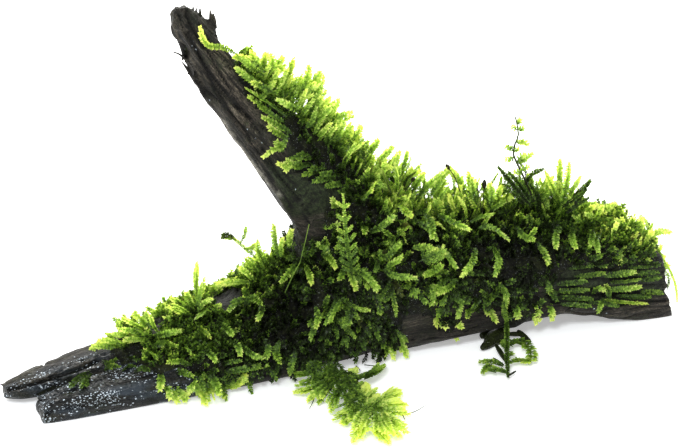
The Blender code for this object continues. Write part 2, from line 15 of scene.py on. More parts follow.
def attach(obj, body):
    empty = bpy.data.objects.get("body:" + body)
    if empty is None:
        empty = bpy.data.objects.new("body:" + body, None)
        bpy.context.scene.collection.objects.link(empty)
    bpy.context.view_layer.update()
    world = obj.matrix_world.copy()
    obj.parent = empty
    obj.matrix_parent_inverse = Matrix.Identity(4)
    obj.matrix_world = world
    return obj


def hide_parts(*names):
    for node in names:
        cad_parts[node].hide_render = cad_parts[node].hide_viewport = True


MM = 0.001
FOOTPRINT_CENTRE = np.array((1.9, -13.5, 0.0))
AXIS_X, AXIS_Y, AXIS_Z = np.eye(3)

# The camera, in the design's millimetres, and its lens
CAMERA_AZIMUTH = math.radians(-19.7)
CAMERA_ELEVATION = math.radians(25.0)
CAMERA_DISTANCE = 500.0
CAMERA_TARGET = np.array((0.0, 0.0, 30.0))
SENSOR_WIDTH = 36.0
LENS = 117.9

WOOD_NODES = ("left_limb", "right_limb", "branch", "rear_stub")
MAT_NODES = ("left_moss_mat", "right_moss_mat", "branch_moss")
BRANCH_AXIS = np.array((-0.6, 0.0, 0.8))
BRANCH_SIDE = np.array((0.8, 0.0, 0.6))
BRANCH_BASE = np.array((1.4, 0.0, 21.0))
# Heights between which the log turns into the branch, and their rise for each millimetre to the left
FOOT_HEIGHTS = (24.0, 36.0)
FOOT_SLOPE = 0.25

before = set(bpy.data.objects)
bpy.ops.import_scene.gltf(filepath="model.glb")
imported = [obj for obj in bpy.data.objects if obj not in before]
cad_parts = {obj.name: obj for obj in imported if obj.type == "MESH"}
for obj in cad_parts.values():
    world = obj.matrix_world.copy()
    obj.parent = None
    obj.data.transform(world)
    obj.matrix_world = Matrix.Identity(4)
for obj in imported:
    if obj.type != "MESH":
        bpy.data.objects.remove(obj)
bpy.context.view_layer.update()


# Vectors and noise

def unit(v):
    v = np.asarray(v, float)
    length = np.linalg.norm(v, axis=-1, keepdims=True)
    return v / np.maximum(length, 1e-9)


def smooth(low, high, value):
    """0 below low, 1 above high, and a smooth step between."""
    t = np.clip((np.asarray(value, float) - low) / (high - low), 0.0, 1.0)
    return t * t * (3.0 - 2.0 * t)


def mix(a, b, share):
    return a + (b - a) * share


def noise_at(points, scale, seed):
    """Smooth noise from -1 to 1 at each point. scale is the size of its waves, one number or one an axis."""
    scaled = np.asarray(points, float) / scale
    return np.array([noise.noise(Vector((x + seed, y - seed, z + 0.5 * seed))) for x, y, z in scaled])


def limb_points(points):
    """Each point as (along the grain, across it, across it), for the log and for the branch."""
    log = points
    branch = np.stack([points @ BRANCH_AXIS, points[:, 1], points @ BRANCH_SIDE], axis=1)
    return log, branch


def branch_share(points):
    """1 on the branch, 0 on the log."""
    return smooth(*FOOT_HEIGHTS, points[:, 2] + FOOT_SLOPE * np.minimum(points[:, 0], 0.0))


# Meshes

def arrays_of(mesh):
    """A mesh's points in millimetres and its triangles."""
    points = np.empty(len(mesh.vertices) * 3, np.float32)
    mesh.vertices.foreach_get("co", points)
    mesh.calc_loop_triangles()
    triangles = np.empty(len(mesh.loop_triangles) * 3, np.int32)
    mesh.loop_triangles.foreach_get("vertices", triangles)
    return points.reshape(-1, 3).astype(float) / MM + FOOTPRINT_CENTRE, triangles.reshape(-1, 3)


def read_node(name):
    """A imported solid's points in millimetres and its triangles, with its split corners joined."""
    points, triangles = arrays_of(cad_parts[name].data)
    keys, place = np.unique(np.round(points, 3), axis=0, return_inverse=True)
    triangles = place.reshape(-1)[triangles]
    whole = (triangles[:, 0] != triangles[:, 1]) & (triangles[:, 1] != triangles[:, 2])
    whole &= triangles[:, 2] != triangles[:, 0]
    return keys, triangles[whole]


def point_normals(points, triangles):
    a, b, c = (points[triangles[:, k]] for k in range(3))
    face = np.cross(b - a, c - a)
    normals = np.zeros_like(points)
    for k in range(3):
        np.add.at(normals, triangles[:, k], face)
    return unit(normals)


def make_object(name, points, triangles, smooth_faces=False, **attributes):
    """A mesh object from points in millimetres. Each attribute is a number or three for each point."""
    mesh = bpy.data.meshes.new(name)
    count = len(triangles)
    mesh.vertices.add(len(points))
    mesh.vertices.foreach_set("co", ((points - FOOTPRINT_CENTRE) * MM).astype(np.float32).ravel())
    mesh.loops.add(count * 3)
    mesh.loops.foreach_set("vertex_index", np.asarray(triangles, np.int32).ravel())
    mesh.polygons.add(count)
    mesh.polygons.foreach_set("loop_start", np.arange(0, count * 3, 3, dtype=np.int32))
    mesh.polygons.foreach_set("use_smooth", np.full(count, smooth_faces))
    for key, values in attributes.items():
        values = np.asarray(values, np.float32)
        kind = "FLOAT" if values.ndim == 1 else "FLOAT_VECTOR"
        field = "value" if values.ndim == 1 else "vector"
        mesh.attributes.new(key, kind, "POINT").data.foreach_set(field, values.ravel())
    mesh.update()
    mesh.validate()
    made = bpy.data.objects.new(name, mesh)
    bpy.context.scene.collection.objects.link(made)
    return made


def remeshed(points, triangles, voxel):
    """One closed skin round everything, as points and triangles in millimetres."""
    source = make_object("remesh_source", points, triangles)
    step = source.modifiers.new("remesh", "REMESH")
    step.mode = "VOXEL"
    step.voxel_size = voxel * MM
    step.adaptivity = 0.0
    seen = source.evaluated_get(bpy.context.evaluated_depsgraph_get())
    skin = arrays_of(seen.to_mesh())
    seen.to_mesh_clear()
    old = source.data
    bpy.data.objects.remove(source)
    bpy.data.meshes.remove(old)
    return skin


def neighbour_mean(values, triangles, times):
    """values averaged with their neighbours' along the mesh's edges, again and again."""
    edges = np.concatenate([triangles[:, [0, 1]], triangles[:, [1, 2]], triangles[:, [2, 0]]])
    edges = np.unique(np.sort(edges, axis=1), axis=0)
    counts = np.bincount(edges.ravel(), minlength=len(values)).astype(float)
    counts = np.maximum(counts, 1.0)
    values = np.asarray(values, float)
    wide = values.ndim > 1
    for _ in range(times):
        total = np.zeros_like(values)
        np.add.at(total, edges[:, 0], values[edges[:, 1]])
        np.add.at(total, edges[:, 1], values[edges[:, 0]])
        mean = total / (counts[:, None] if wide else counts)
        values = mix(values, mean, 0.5)
    return values


def joined(parts):
    """Several (points, triangles) as one."""
    points, triangles, start = [], [], 0
    for some_points, some_triangles in parts:
        points.append(some_points)
        triangles.append(some_triangles + start)
        start += len(some_points)
    return np.concatenate(points), np.concatenate(triangles)


def tree_of(points, triangles):
    return BVHTree.FromPolygons(points.tolist(), triangles.tolist())


# Paths and tubes

def path_at(points, t):
    """Places and headings along a smooth path through points, at shares t of its way."""
    points = np.asarray(points, float)
    last = len(points) - 1
    scaled = np.clip(np.asarray(t, float), 0.0, 1.0) * last
    low = np.minimum(scaled.astype(int), last - 1)
    u = (scaled - low)[:, None]
    padded = np.concatenate([[2 * points[0] - points[1]], points, [2 * points[-1] - points[-2]]])
    a, b, c, d = (padded[low + k] for k in range(4))
    place = b + (c - a) * u / 2 + (2 * a - 5 * b + 4 * c - d) * u**2 / 2 + (3 * b - a - 3 * c + d) * u**3 / 2
    heading = (c - a) / 2 + (2 * a - 5 * b + 4 * c - d) * u + (3 * b - a - 3 * c + d) * u**2 * 1.5
    return place, unit(heading)


def path_length(points):
    place, _ = path_at(points, np.linspace(0, 1, 9))
    return np.linalg.norm(np.diff(place, axis=0), axis=1).sum()


def frames_along(headings, face):
    """The side and the flat face's direction at each heading."""
    side = unit(np.cross(headings, face))
    return side, np.cross(side, headings)


def tube(place, side, up, radius, sides):
    """A closed tube round the places of a path, as points and triangles."""
    angles = np.arange(sides) * 2 * math.pi / sides
    ring = side[:, None] * np.cos(angles)[None, :, None] + up[:, None] * np.sin(angles)[None, :, None]
    skin = place[:, None] + ring * radius[:, None, None]
    faces = []
    for i in range(len(place) - 1):
        for k in range(sides):
            a, b = i * sides + k, i * sides + (k + 1) % sides
            faces += [(a, b, b + sides), (a, b + sides, a + sides)]
    end = sides * (len(place) - 1)
    for k in range(1, sides - 1):
        faces += [(0, k + 1, k), (end, end + k, end + k + 1)]
    return skin.reshape(-1, 3), np.array(faces)


# The picture

PICTURE_MIDDLE = (340.0, 224.0)
PICTURE_FOCAL = 2226.7
LOWEST_SHOOT = 1.0
SIGHT = 900.0
TURNED_AWAY = 0.15


def traced(*rows):
    """Lines or outlines of the picture, each a row of its points' places: across, down, across, down."""
    return tuple(tuple(zip(row[::2], row[1::2])) for row in rows)


def camera_frame():
    """The camera's place, and the way it looks, its right and its up."""
    back = np.array((
        math.sin(CAMERA_AZIMUTH) * math.cos(CAMERA_ELEVATION),
        -math.cos(CAMERA_AZIMUTH) * math.cos(CAMERA_ELEVATION),
        math.sin(CAMERA_ELEVATION),
    ))
    right = unit(np.cross(-back, AXIS_Z))
    return CAMERA_TARGET + back * CAMERA_DISTANCE, -back, right, np.cross(right, -back)


EYE, LOOK, RIGHT, UP = camera_frame()


def sight_line(u, v):
    """The way from the camera through a point of the picture."""
    return unit(LOOK * PICTURE_FOCAL + RIGHT * (u - PICTURE_MIDDLE[0]) - UP * (v - PICTURE_MIDDLE[1]))


def seen_on(axis, value, u, v):
    """The place that a point of the picture shows on the plane where the axis has this value."""
    way = sight_line(u, v)
    return EYE + way * (value - EYE[axis]) / way[axis]


def at_depth(marks, depth):
    """The places that points of the picture show at one depth, or at a depth for each of them."""
    depths = np.broadcast_to(depth, len(marks))
    return np.array([seen_on(1, y, u, v) for (u, v), y in zip(marks, depths)])


def picture_of(points):
    """Where points show in the picture, as across and down."""
    away = points - EYE
    depth = away @ LOOK / PICTURE_FOCAL
    return PICTURE_MIDDLE[0] + away @ RIGHT / depth, PICTURE_MIDDLE[1] - away @ UP / depth


def inside(u, v, corners):
    """Which points of the picture lie inside a polygon."""
    found = np.zeros(len(u), bool)
    for (ua, va), (ub, vb) in zip(corners, corners[1:] + corners[:1]):
        if va != vb:
            crossing = ua + (v - va) * (ub - ua) / (vb - va)
            found ^= ((va > v) != (vb > v)) & (u < crossing)
    return found


def in_patches(points, normals, patches):
    """Which points face the camera and show inside one of some polygons of the picture."""
    u, v = picture_of(points)
    found = np.zeros(len(points), bool)
    for corners in patches:
        found |= inside(u, v, corners)
    return found & (normals @ LOOK < TURNED_AWAY)


def on_surface(tree, marks, root_lift, tip_lift):
    """The places that points of the picture show on a surface, lifted off it towards the camera.

    A point past its edge stays at the depth of the one before it.
    """
    places, depth = [], None
    for (u, v), off in zip(marks, np.linspace(root_lift, tip_lift, len(marks))):
        way = sight_line(u, v)
        hit = tree.ray_cast(Vector(EYE), Vector(way), SIGHT)[0]
        if hit is not None:
            places.append(np.array(hit) - way * off)
            depth = hit[1]
        elif depth is not None:
            place = seen_on(1, depth, u, v)
            places.append(place if place[2] > LOWEST_SHOOT else seen_on(2, LOWEST_SHOOT, u, v))
    return places


# Material nodes

class Nodes:
    """A short way to lay out a material's nodes."""

    def __init__(self, name):
        self.material = bpy.data.materials.new(name)
        self.material.use_nodes = True
        self.tree = self.material.node_tree
        self.tree.nodes.clear()

    def add(self, kind, inputs=None, **settings):
        node = self.tree.nodes.new(kind)
        for key, value in settings.items():
            setattr(node, key, value)
        for key, value in (inputs or {}).items():
            if isinstance(value, bpy.types.NodeSocket):
                self.tree.links.new(value, node.inputs[key])
            else:
                node.inputs[key].default_value = value
        return node

    def attribute(self, name, output="Fac"):
        return self.add("ShaderNodeAttribute", attribute_name=name).outputs[output]

    def noise(self, vector, scale, detail=3.0, roughness=0.55):
        inputs = {"Vector": vector, "Scale": scale, "Detail": detail, "Roughness": roughness}
        return self.add("ShaderNodeTexNoise", inputs).outputs["Fac"]

    def math(self, operation, a, b=0.0):
        return self.add("ShaderNodeMath", {0: a, 1: b}, operation=operation).outputs[0]

    def times(self, a, b):
        return self.math("MULTIPLY", a, b)

    def span(self, value, low, high, to_low=0.0, to_high=1.0):
        inputs = {"Value": value, "From Min": low, "From Max": high, "To Min": to_low, "To Max": to_high}
        return self.add("ShaderNodeMapRange", inputs).outputs[0]

    def ramp(self, value, stops):
        node = self.add("ShaderNodeValToRGB", {"Fac": value})
        elements = node.color_ramp.elements
        while len(elements) < len(stops):
            elements.new(0.5)
        for element, (place, colour) in zip(elements, stops):
            element.position = place
            element.color = (*colour, 1.0)
        return node.outputs["Color"]

    def blend(self, share, a, b, kind="MIX"):
        node = self.add("ShaderNodeMix", data_type="RGBA", blend_type=kind)
        for socket, value in zip((node.inputs[0], node.inputs[6], node.inputs[7]), (share, a, b)):
            if isinstance(value, bpy.types.NodeSocket):
                self.tree.links.new(value, socket)
            elif isinstance(value, tuple):
                socket.default_value = (*value, 1.0)
            else:
                socket.default_value = value
        return node.outputs[2]

    def scaled(self, vector, scale):
        node = self.add("ShaderNodeMapping", {"Vector": vector, "Scale": scale})
        return node.outputs["Vector"]

    def bump(self, height, strength, distance):
        inputs = {"Height": height, "Strength": strength, "Distance": distance}
        return self.add("ShaderNodeBump", inputs).outputs["Normal"]

    def finish(self, shader):
        out = self.add("ShaderNodeOutputMaterial")
        self.tree.links.new(shader, out.inputs["Surface"])
        return self.material


# Driftwood

WOOD_VOXEL = 0.46
WOOD_SMOOTHING = (2, 3)
WOOD_SWELL = 0.24
WOOD_SHRINK = 0.12
RESTING_HEIGHTS = (0.2, 2.4)
LOWEST_WOOD = 0.02
PATCH_SOFTENING = 4

# The right limb's underside sags by this much between these places along the log
SAG = 1.3
SAG_FROM = (50.0, 57.0)
SAG_TO = (70.0, 62.0)
FACING_DOWN = (0.1, -0.5)

GRAIN_WAVES = (
    # The grain's waves, coarse to fine: their size along and across it, their seed and their height
    ((26.0, 4.6, 4.2), 3.1, 0.45),
    ((17.0, 2.1, 1.9), 7.7, 0.38),
    ((9.0, 1.05, 0.95), 12.3, 0.26),
    ((5.0, 0.62, 0.58), 21.9, 0.15),
)
SPLIT_WAVES = ((30.0, 5.2, 4.6), 33.3)
CREASE_WIDTH = 0.045
CREASE_DEPTH = 0.75
# Where the grain's low places get painted shade
LOW_GRAIN_SHADE = (0.28, 0.6)

# The broken tip of the branch: its depth in the photo, where it starts along the branch, and its rags
TIP_DEPTH = 4.0
TIP_START = (62.0, 70.0)
RAGS_SIZE = (1.3, 1.3, 2.6)
RAGS_HEIGHT = 0.55
RAGS_SEED = 91.0
ROD_SIDES = 7
ROD_RINGS = 8
TIP_KNOBS = (
    # Points of the picture from a knob's root to its end, with the radius at each end
    (((188, 44), (181, 20), (180, 3)), 2.5, 0.9),
    (((186, 44), (178, 24), (175, 11)), 2.0, 0.8),
    (((194, 46), (190, 26), (187, 8)), 2.4, 0.8),
    (((202, 50), (198, 30), (196, 12)), 2.2, 0.8),
    (((208, 54), (203, 32), (199, 15)), 2.6, 1.5),
    (((211, 56), (207, 40), (205, 22)), 2.3, 0.9),
    (((217, 70), (213, 42), (212, 17)), 2.6, 1.15),
    (((200, 84), (193, 74), (186, 66)), 1.1, 0.35),
)
SPLINTERS = (
    # The same for the thin splinters
    (((212, 28), (211, 18), (210, 10)), 0.8, 0.15), (((191, 16), (193, 11), (193, 6)), 0.5, 0.12),
    (((214, 28), (214, 20), (213, 14)), 0.7, 0.25), (((200, 20), (200, 14), (200, 9)), 0.5, 0.2),
    (((190, 64), (184, 58), (179, 54), (173, 52)), 0.34, 0.14),
    (((186, 62), (185, 58), (187, 56)), 0.28, 0.14), (((198, 82), (190, 72), (182, 62)), 0.9, 0.12),
)
GROOVE_FACING = (0.1, 0.4)
GROOVES = (
    # On the front of the wood, as points of the picture, with width and depth in millimetres
    (((8, 388), (26, 384), (44, 379), (62, 373), (80, 367), (97, 359)), 0.8, 1.3),
    (((38, 399), (52, 392), (70, 387), (88, 381), (106, 375), (130, 369)), 0.7, 1.8),
    (((560, 262), (600, 261), (640, 262), (662, 266)), 0.45, 0.8),
    (((556, 279), (600, 279), (664, 278)), 0.4, 0.7), (((556, 288), (600, 286), (664, 286)), 0.4, 0.8),
    (((552, 301), (600, 300), (640, 301), (667, 300)), 0.5, 0.9),
    (((600, 270), (640, 271), (664, 272)), 0.4, 0.6), (((590, 294), (630, 294), (666, 293)), 0.4, 0.6),
    (((196, 50), (212, 84), (232, 116), (250, 140)), 0.5, 0.9),
    (((204, 44), (222, 76), (244, 112), (262, 136)), 0.4, 0.7),
    (((188, 34), (202, 62), (214, 92)), 0.5, 0.8), (((186, 10), (194, 30), (204, 48)), 0.6, 1.0),
    (((232, 132), (252, 162), (276, 192)), 0.45, 0.7), (((262, 150), (280, 178), (300, 200)), 0.4, 0.6),
)
COLOUR_PATCHES = {
    # Where the wood is brown, has a painted highlight along its edge, or lies under algae, as polygons of the
    # picture
    "brown": traced(
        (206, 46, 226, 50, 240, 84, 256, 122, 262, 146, 250, 146, 230, 112, 212, 74),
        # On the tongue's top: brown wood, lighter there as painted light on its top face
        (6, 386, 40, 374, 88, 358, 94, 362, 60, 376, 12, 392),
    ),
    # A painted highlight along the branch's left edge
    "rim_highlight": traced((219, 118, 224, 120, 256, 162, 284, 198, 278, 196, 250, 164)),
    "mossy": traced(
        (548, 250, 600, 240, 650, 246, 664, 262, 664, 296, 600, 300, 540, 306),
        (286, 120, 300, 110, 352, 170, 384, 186, 344, 190, 304, 176, 290, 160),
        (264, 156, 300, 176, 346, 186, 344, 202, 328, 214, 292, 216, 278, 196),
    ),
}
DARK_PATCHES = (
    # Patches painted darker, in the same colour as the painted shade in the cracks: how dark, and the patch
    # of the picture
    (1.0, ((214, 297), (226, 284), (262, 280), (268, 292), (240, 306), (222, 312))),
    (0.6, ((396, 352), (420, 326), (540, 306), (560, 304), (560, 322), (480, 340), (404, 366))),
)
# Where the lobe and the tongue of the split end get wet, along the log and towards the front
WET_LOBE = ((-26.0, -40.0), (-2.0, -5.0))
WET_TONGUE = ((-50.0, -56.0), (1.0, -2.0))
TONGUE_WETNESS = 0.7
PIT_RIM = 1.6
PITS = (
    # On the branch's front: place, radius, depth
    ((-26.2, -1.5, 71.1), 0.8, 1.1),
    ((-23.0, -2.5, 66.1), 0.9, 1.2),
    ((-21.8, -2.5, 57.8), 1.3, 1.4),
    ((-9.4, -5.5, 37.0), 1.1, 1.0),
    ((-17.2, -4.0, 63.7), 0.7, 0.9),
    ((-36.0, 2.0, 74.4), 1.9, 1.6),
)


def rod(points, first, last):
    """A closed tapering rod along a path, as points and triangles."""
    t = np.linspace(0.0, 1.0, ROD_RINGS)
    place, heading = path_at(points, t)
    side, up = frames_along(heading, AXIS_Y)
    return tube(place, side, up, mix(first, last, t), ROD_SIDES)


def tip_rods(rods):
    return [rod(at_depth(marks, TIP_DEPTH), first, last) for marks, first, last in rods]


def wood_source():
    """The wood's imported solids, swelled a little so that their parting gaps close, and the branch's tip."""
    parts = tip_rods(TIP_KNOBS)
    for name in WOOD_NODES:
        points, triangles = read_node(name)
        parts.append((points + point_normals(points, triangles) * WOOD_SWELL, triangles))
    return joined(parts)


def wood_skin(voxel, rounds, normal_rounds):
    """One closed skin round the wood and its normals, each averaged with its neighbours so many times."""
    points, triangles = remeshed(*wood_source(), voxel)
    points = neighbour_mean(points, triangles, rounds)
    normals = neighbour_mean(point_normals(points, triangles), triangles, normal_rounds)
    return points, triangles, unit(normals)


def wood_relief(points):
    """How far the bark-less grain stands out, in millimetres, and how dark the painted shade in its creases
    and low grain is.
    """
    on_branch = branch_share(points)
    relief = np.zeros(len(points))
    painted_darkness = np.zeros(len(points))
    for share, along in zip((1.0 - on_branch, on_branch), limb_points(points)):
        waves = [noise_at(along, np.array(size), seed) for size, seed, _ in GRAIN_WAVES]
        height = sum(tall * wave for (_, _, tall), wave in zip(GRAIN_WAVES, waves))
        size, seed = SPLIT_WAVES
        split = noise_at(along, np.array(size), seed)
        crease = np.clip(1.0 - np.abs(split) / CREASE_WIDTH, 0.0, 1.0)
        _, ridges, fibres, _ = waves
        relief += share * (height - CREASE_DEPTH * crease)
        # Painted shade in the creases and in the grain's low places
        painted_darkness += share * np.maximum(crease, smooth(*LOW_GRAIN_SHADE, -fibres - 0.5 * ridges))
    return relief, painted_darkness


def near_line(u, v, marks):
    """How far points of the picture are from a line through marks, in pixels."""
    nearest = np.full(len(u), 1e9)
    for (ua, va), (ub, vb) in zip(marks, marks[1:]):
        du, dv = ub - ua, vb - va
        t = np.clip(((u - ua) * du + (v - va) * dv) / (du * du + dv * dv), 0.0, 1.0)
        nearest = np.minimum(nearest, np.hypot(u - ua - t * du, v - va - t * dv))
    return nearest


def cut_grooves(points, normals):
    """How deep the grooves that the picture shows cut into each point, in millimetres, and how dark the
    painted shade in them is.
    """
    u, v = picture_of(points)
    across = np.linalg.norm(points - EYE, axis=1) / PICTURE_FOCAL
    facing = smooth(*GROOVE_FACING, -(normals @ LOOK))
    cut = np.zeros(len(points))
    dark = np.zeros(len(points))
    for marks, width, depth in GROOVES:
        near = np.clip(1.0 - near_line(u, v, marks) * across / width, 0.0, 1.0) * facing
        cut = np.maximum(cut, depth * near)
        dark = np.maximum(dark, near**0.5 * (near > 0))
    return cut, dark


def wet_places(points):
    """Where water stands on the wood and glitters: most on the split left end's front."""
    x, y, _ = points.T
    lobe = smooth(*WET_LOBE[0], x) * smooth(*WET_LOBE[1], y)
    tongue = TONGUE_WETNESS * smooth(*WET_TONGUE[0], x) * smooth(*WET_TONGUE[1], y)
    elsewhere = 0.06 * smooth(0.1, 0.5, noise_at(points, 9.0, 71.0))
    return np.clip(np.maximum(lobe, tongue) + elsewhere, 0.0, 1.0)


def cut_pits(points):
    """How deep the branch's pits cut into each point, in millimetres, and how dark the painted shade in them
    is.
    """
    cut = np.zeros(len(points))
    dark = np.zeros(len(points))
    for place, radius, depth in PITS:
        away = np.linalg.norm((points - place) / radius, axis=1)
        hole = np.clip(1.0 - away / PIT_RIM, 0.0, 1.0)
        cut += depth * hole
        dark = np.maximum(dark, hole)
    return cut, dark


def broken_tip(points):
    """The ragged relief of the branch's broken tip, in millimetres."""
    broken = smooth(*TIP_START, (points - BRANCH_BASE) @ BRANCH_AXIS) * branch_share(points)
    return RAGS_HEIGHT * broken * noise_at(points, np.array(RAGS_SIZE), RAGS_SEED)


def carved(points, normals):
    """The wood's points after grain, grooves, pits and sag, and how dark each is painted: painted shade in
    creases, low grain, grooves and pits.
    """
    relief, painted_darkness = wood_relief(points)
    groove, groove_shade = cut_grooves(points, normals)
    pit, pit_shade = cut_pits(points)
    relief = relief - groove + broken_tip(points) - pit
    painted_darkness = np.maximum(np.maximum(painted_darkness, groove_shade), pit_shade)
    x = points[:, 0]
    sag = smooth(*SAG_FROM, x) * smooth(*SAG_TO, x) * smooth(*FACING_DOWN, normals[:, 2])
    points = points - AXIS_Z * (SAG * sag)[:, None]
    loose = smooth(*RESTING_HEIGHTS, points[:, 2])
    inward = -WOOD_SWELL - WOOD_SHRINK
    points = points + normals * ((relief + inward) * loose)[:, None]
    points[:, 2] = np.maximum(points[:, 2], LOWEST_WOOD)
    return points, painted_darkness


def painted(points, normals, triangles, patches):
    """1 inside the patches of the picture and 0 outside, with soft edges."""
    found = in_patches(points, normals, patches).astype(float)
    return neighbour_mean(found, triangles, PATCH_SOFTENING)


def make_driftwood():
    points, triangles, normals = wood_skin(WOOD_VOXEL, *WOOD_SMOOTHING)
    points, painted_darkness = carved(points, normals)
    for strength, patch in DARK_PATCHES:
        painted_darkness = np.maximum(painted_darkness, strength * painted(points, normals, triangles, (patch,)))
    marks = {"painted_darkness": painted_darkness, "wet": wet_places(points)}
    for key, patches in COLOUR_PATCHES.items():
        marks[key] = painted(points, normals, triangles, patches)
    splinters = joined(tip_rods(SPLINTERS))
    points, triangles = joined([(points, triangles), splinters])
    unmarked = np.zeros(len(splinters[0]))
    marks = {key: np.concatenate([values, unmarked]) for key, values in marks.items()}
    log, branch = limb_points(points)
    share = branch_share(points)
    grain = mix(log, branch, share[:, None])
    return make_object("driftwood", points, triangles, True, grain=grain, limb=share, **marks)


BLACK_WOOD = [
    (0.36, (0.0030, 0.0028, 0.0022)),
    (0.48, (0.011, 0.0098, 0.0075)),
    (0.56, (0.030, 0.026, 0.019)),
    (0.66, (0.085, 0.074, 0.055)),
]
BROWN_WOOD = [
    (0.40, (0.010, 0.0085, 0.0062)),
    (0.50, (0.052, 0.043, 0.031)),
    (0.62, (0.150, 0.125, 0.092)),
]
ALGAE = [(0.38, (0.002, 0.003, 0.001)), (0.62, (0.028, 0.042, 0.014))]
# The colour of the painted highlight along the branch's left edge
RIM_HIGHLIGHT_PAINT = (0.32, 0.30, 0.25)
WATER_DARK = (0.006, 0.0075, 0.0085)
# The bluish painted sheen of the standing water
SHEEN_PAINT_COLOUR = (0.036, 0.048, 0.062)
# The colour of the painted shade in creases, grooves and pits, and of the darker patches
DARKNESS_PAINT_COLOUR = (0.0015, 0.0013, 0.001)
# The colour of the painted glints on the wet wood
GLINT_PAINT_COLOUR = (0.78, 0.88, 0.96)


def wood_colour(n, grain, fibres, grit):
    """Black streaks, brown where the wood is bare, dim algae, and a painted highlight along the branch's left
    edge.
    """
    streaks = n.noise(n.scaled(grain, (0.05, 1.0, 1.0)), 0.75, 7.0, 0.68)
    patches = n.noise(n.scaled(grain, (0.35, 1.0, 1.0)), 0.10, 4.0, 0.6)
    on_branch = n.span(n.attribute("limb"), 0.0, 1.0, 0.35, 0.55)
    bare = n.times(n.span(patches, 0.44, 0.60), on_branch)
    bare = n.math("MAXIMUM", bare, n.attribute("brown"))
    colour = n.blend(bare, n.ramp(streaks, BLACK_WOOD), n.ramp(fibres, BROWN_WOOD))
    algae = n.span(n.noise(grain, 0.16, 3.0), 0.50, 0.68, 0.0, 0.6)
    algae = n.math("MAXIMUM", algae, n.times(n.attribute("mossy"), 0.9))
    colour = n.blend(algae, colour, n.ramp(grit, ALGAE))
    return n.blend(n.times(n.attribute("rim_highlight"), 0.8), colour, RIM_HIGHLIGHT_PAINT)


def add_water(n, grain, wet, colour):
    """Standing water darkens the wood, and a bluish painted sheen lies over it."""
    colour = n.blend(n.times(wet, 0.65), colour, WATER_DARK)
    sheen_mask = n.span(n.noise(n.scaled(grain, (0.3, 1.0, 1.0)), 0.30, 3.0), 0.46, 0.62, 0.0, 0.75)
    return n.blend(n.times(sheen_mask, wet), colour, SHEEN_PAINT_COLOUR)


def add_painted_glints(n, grain, wet, coarse, colour):
    """Painted glints: white specks in the colour where the wet wood would glitter, each a cell of its own
    size and strength.
    """
    specks = n.add("ShaderNodeTexVoronoi", {"Vector": n.scaled(grain, (0.6, 1.0, 1.0)), "Scale": 2.9})
    share, strength, _ = n.add("ShaderNodeSeparateXYZ", {0: specks.outputs["Color"]}).outputs
    small = n.math("LESS_THAN", specks.outputs["Distance"], n.span(coarse, 0.35, 0.65, 0.10, 0.55))
    often = n.span(n.noise(n.scaled(grain, (0.4, 1.0, 1.0)), 0.36, 3.0), 0.46, 0.57, 0.06, 1.0)
    many = n.math("ADD", n.times(n.times(wet, often), 0.85), 0.002)
    painted_glint = n.times(small, n.math("LESS_THAN", share, many))
    painted_glint = n.times(painted_glint, n.span(strength, 0.0, 1.0, 0.3, 1.0))
    return n.blend(painted_glint, colour, GLINT_PAINT_COLOUR)


def wood_material():
    n = Nodes("wet_driftwood")
    grain = n.attribute("grain", "Vector")
    wet = n.attribute("wet")
    fibres = n.noise(n.scaled(grain, (0.07, 1.0, 1.0)), 2.4, 5.0, 0.70)
    coarse = n.noise(n.scaled(grain, (0.35, 1.0, 1.0)), 4.2, 4.0, 0.75)
    grit = n.noise(grain, 1.1, 5.0, 0.7)
    drops = n.noise(grain, 0.9, 2.0, 0.5)
    uneven = n.span(coarse, 0.36, 0.64, 0.12, 1.75)
    uneven = n.add("ShaderNodeCombineXYZ", {0: uneven, 1: uneven, 2: uneven}).outputs[0]
    colour = n.blend(1.0, wood_colour(n, grain, fibres, grit), uneven, "MULTIPLY")
    colour = add_water(n, grain, wet, colour)
    # Painted shade in creases, grooves and pits, and the darker patches
    colour = n.blend(n.span(n.attribute("painted_darkness"), 0.1, 0.9, 0.0, 0.9), colour, DARKNESS_PAINT_COLOUR)
    # Painted glints of light on the water
    colour = add_painted_glints(n, grain, wet, coarse, colour)
    rough = n.span(n.math("ADD", wet, n.times(grit, 0.8)), 0.4, 1.1, 0.55, 0.12)
    height = n.math("ADD", n.times(fibres, 0.6), n.times(grit, 0.7))
    height = n.math("ADD", height, n.times(drops, n.times(wet, 1.6)))
    shader = n.add("ShaderNodeBsdfPrincipled", {
        "Base Color": colour,
        "Roughness": rough,
        "Normal": n.bump(height, 1.0, 0.0007),
        "Specular IOR Level": 0.22,
    })
    return n.finish(shader.outputs["BSDF"])


# Moss shoots

LEAF_LENGTH = 1.12
LEAF_WIDTH = 0.68
LEAF_GAP = 0.49
LEAF_WIDEST = 0.45
LEAF_FOLD = 0.14
LEAF_CURL = 0.1
LEAF_SHADES = 0.09
# Each leaf is painted darker at its root and lighter at its tip: painted shade and painted light
LEAF_CORNER_SHADES = (-0.13, 0.0, 0.14, 0.0)
LOWEST_LEAF = 0.06
# How much the leaves' spread, tilt and length vary, and their places along the stem
SPREAD_VARIES = 0.12
TILT_VARIES = 0.16
LENGTH_VARIES = (0.85, 1.12)
PLACE_VARIES = (0.2, 0.8)
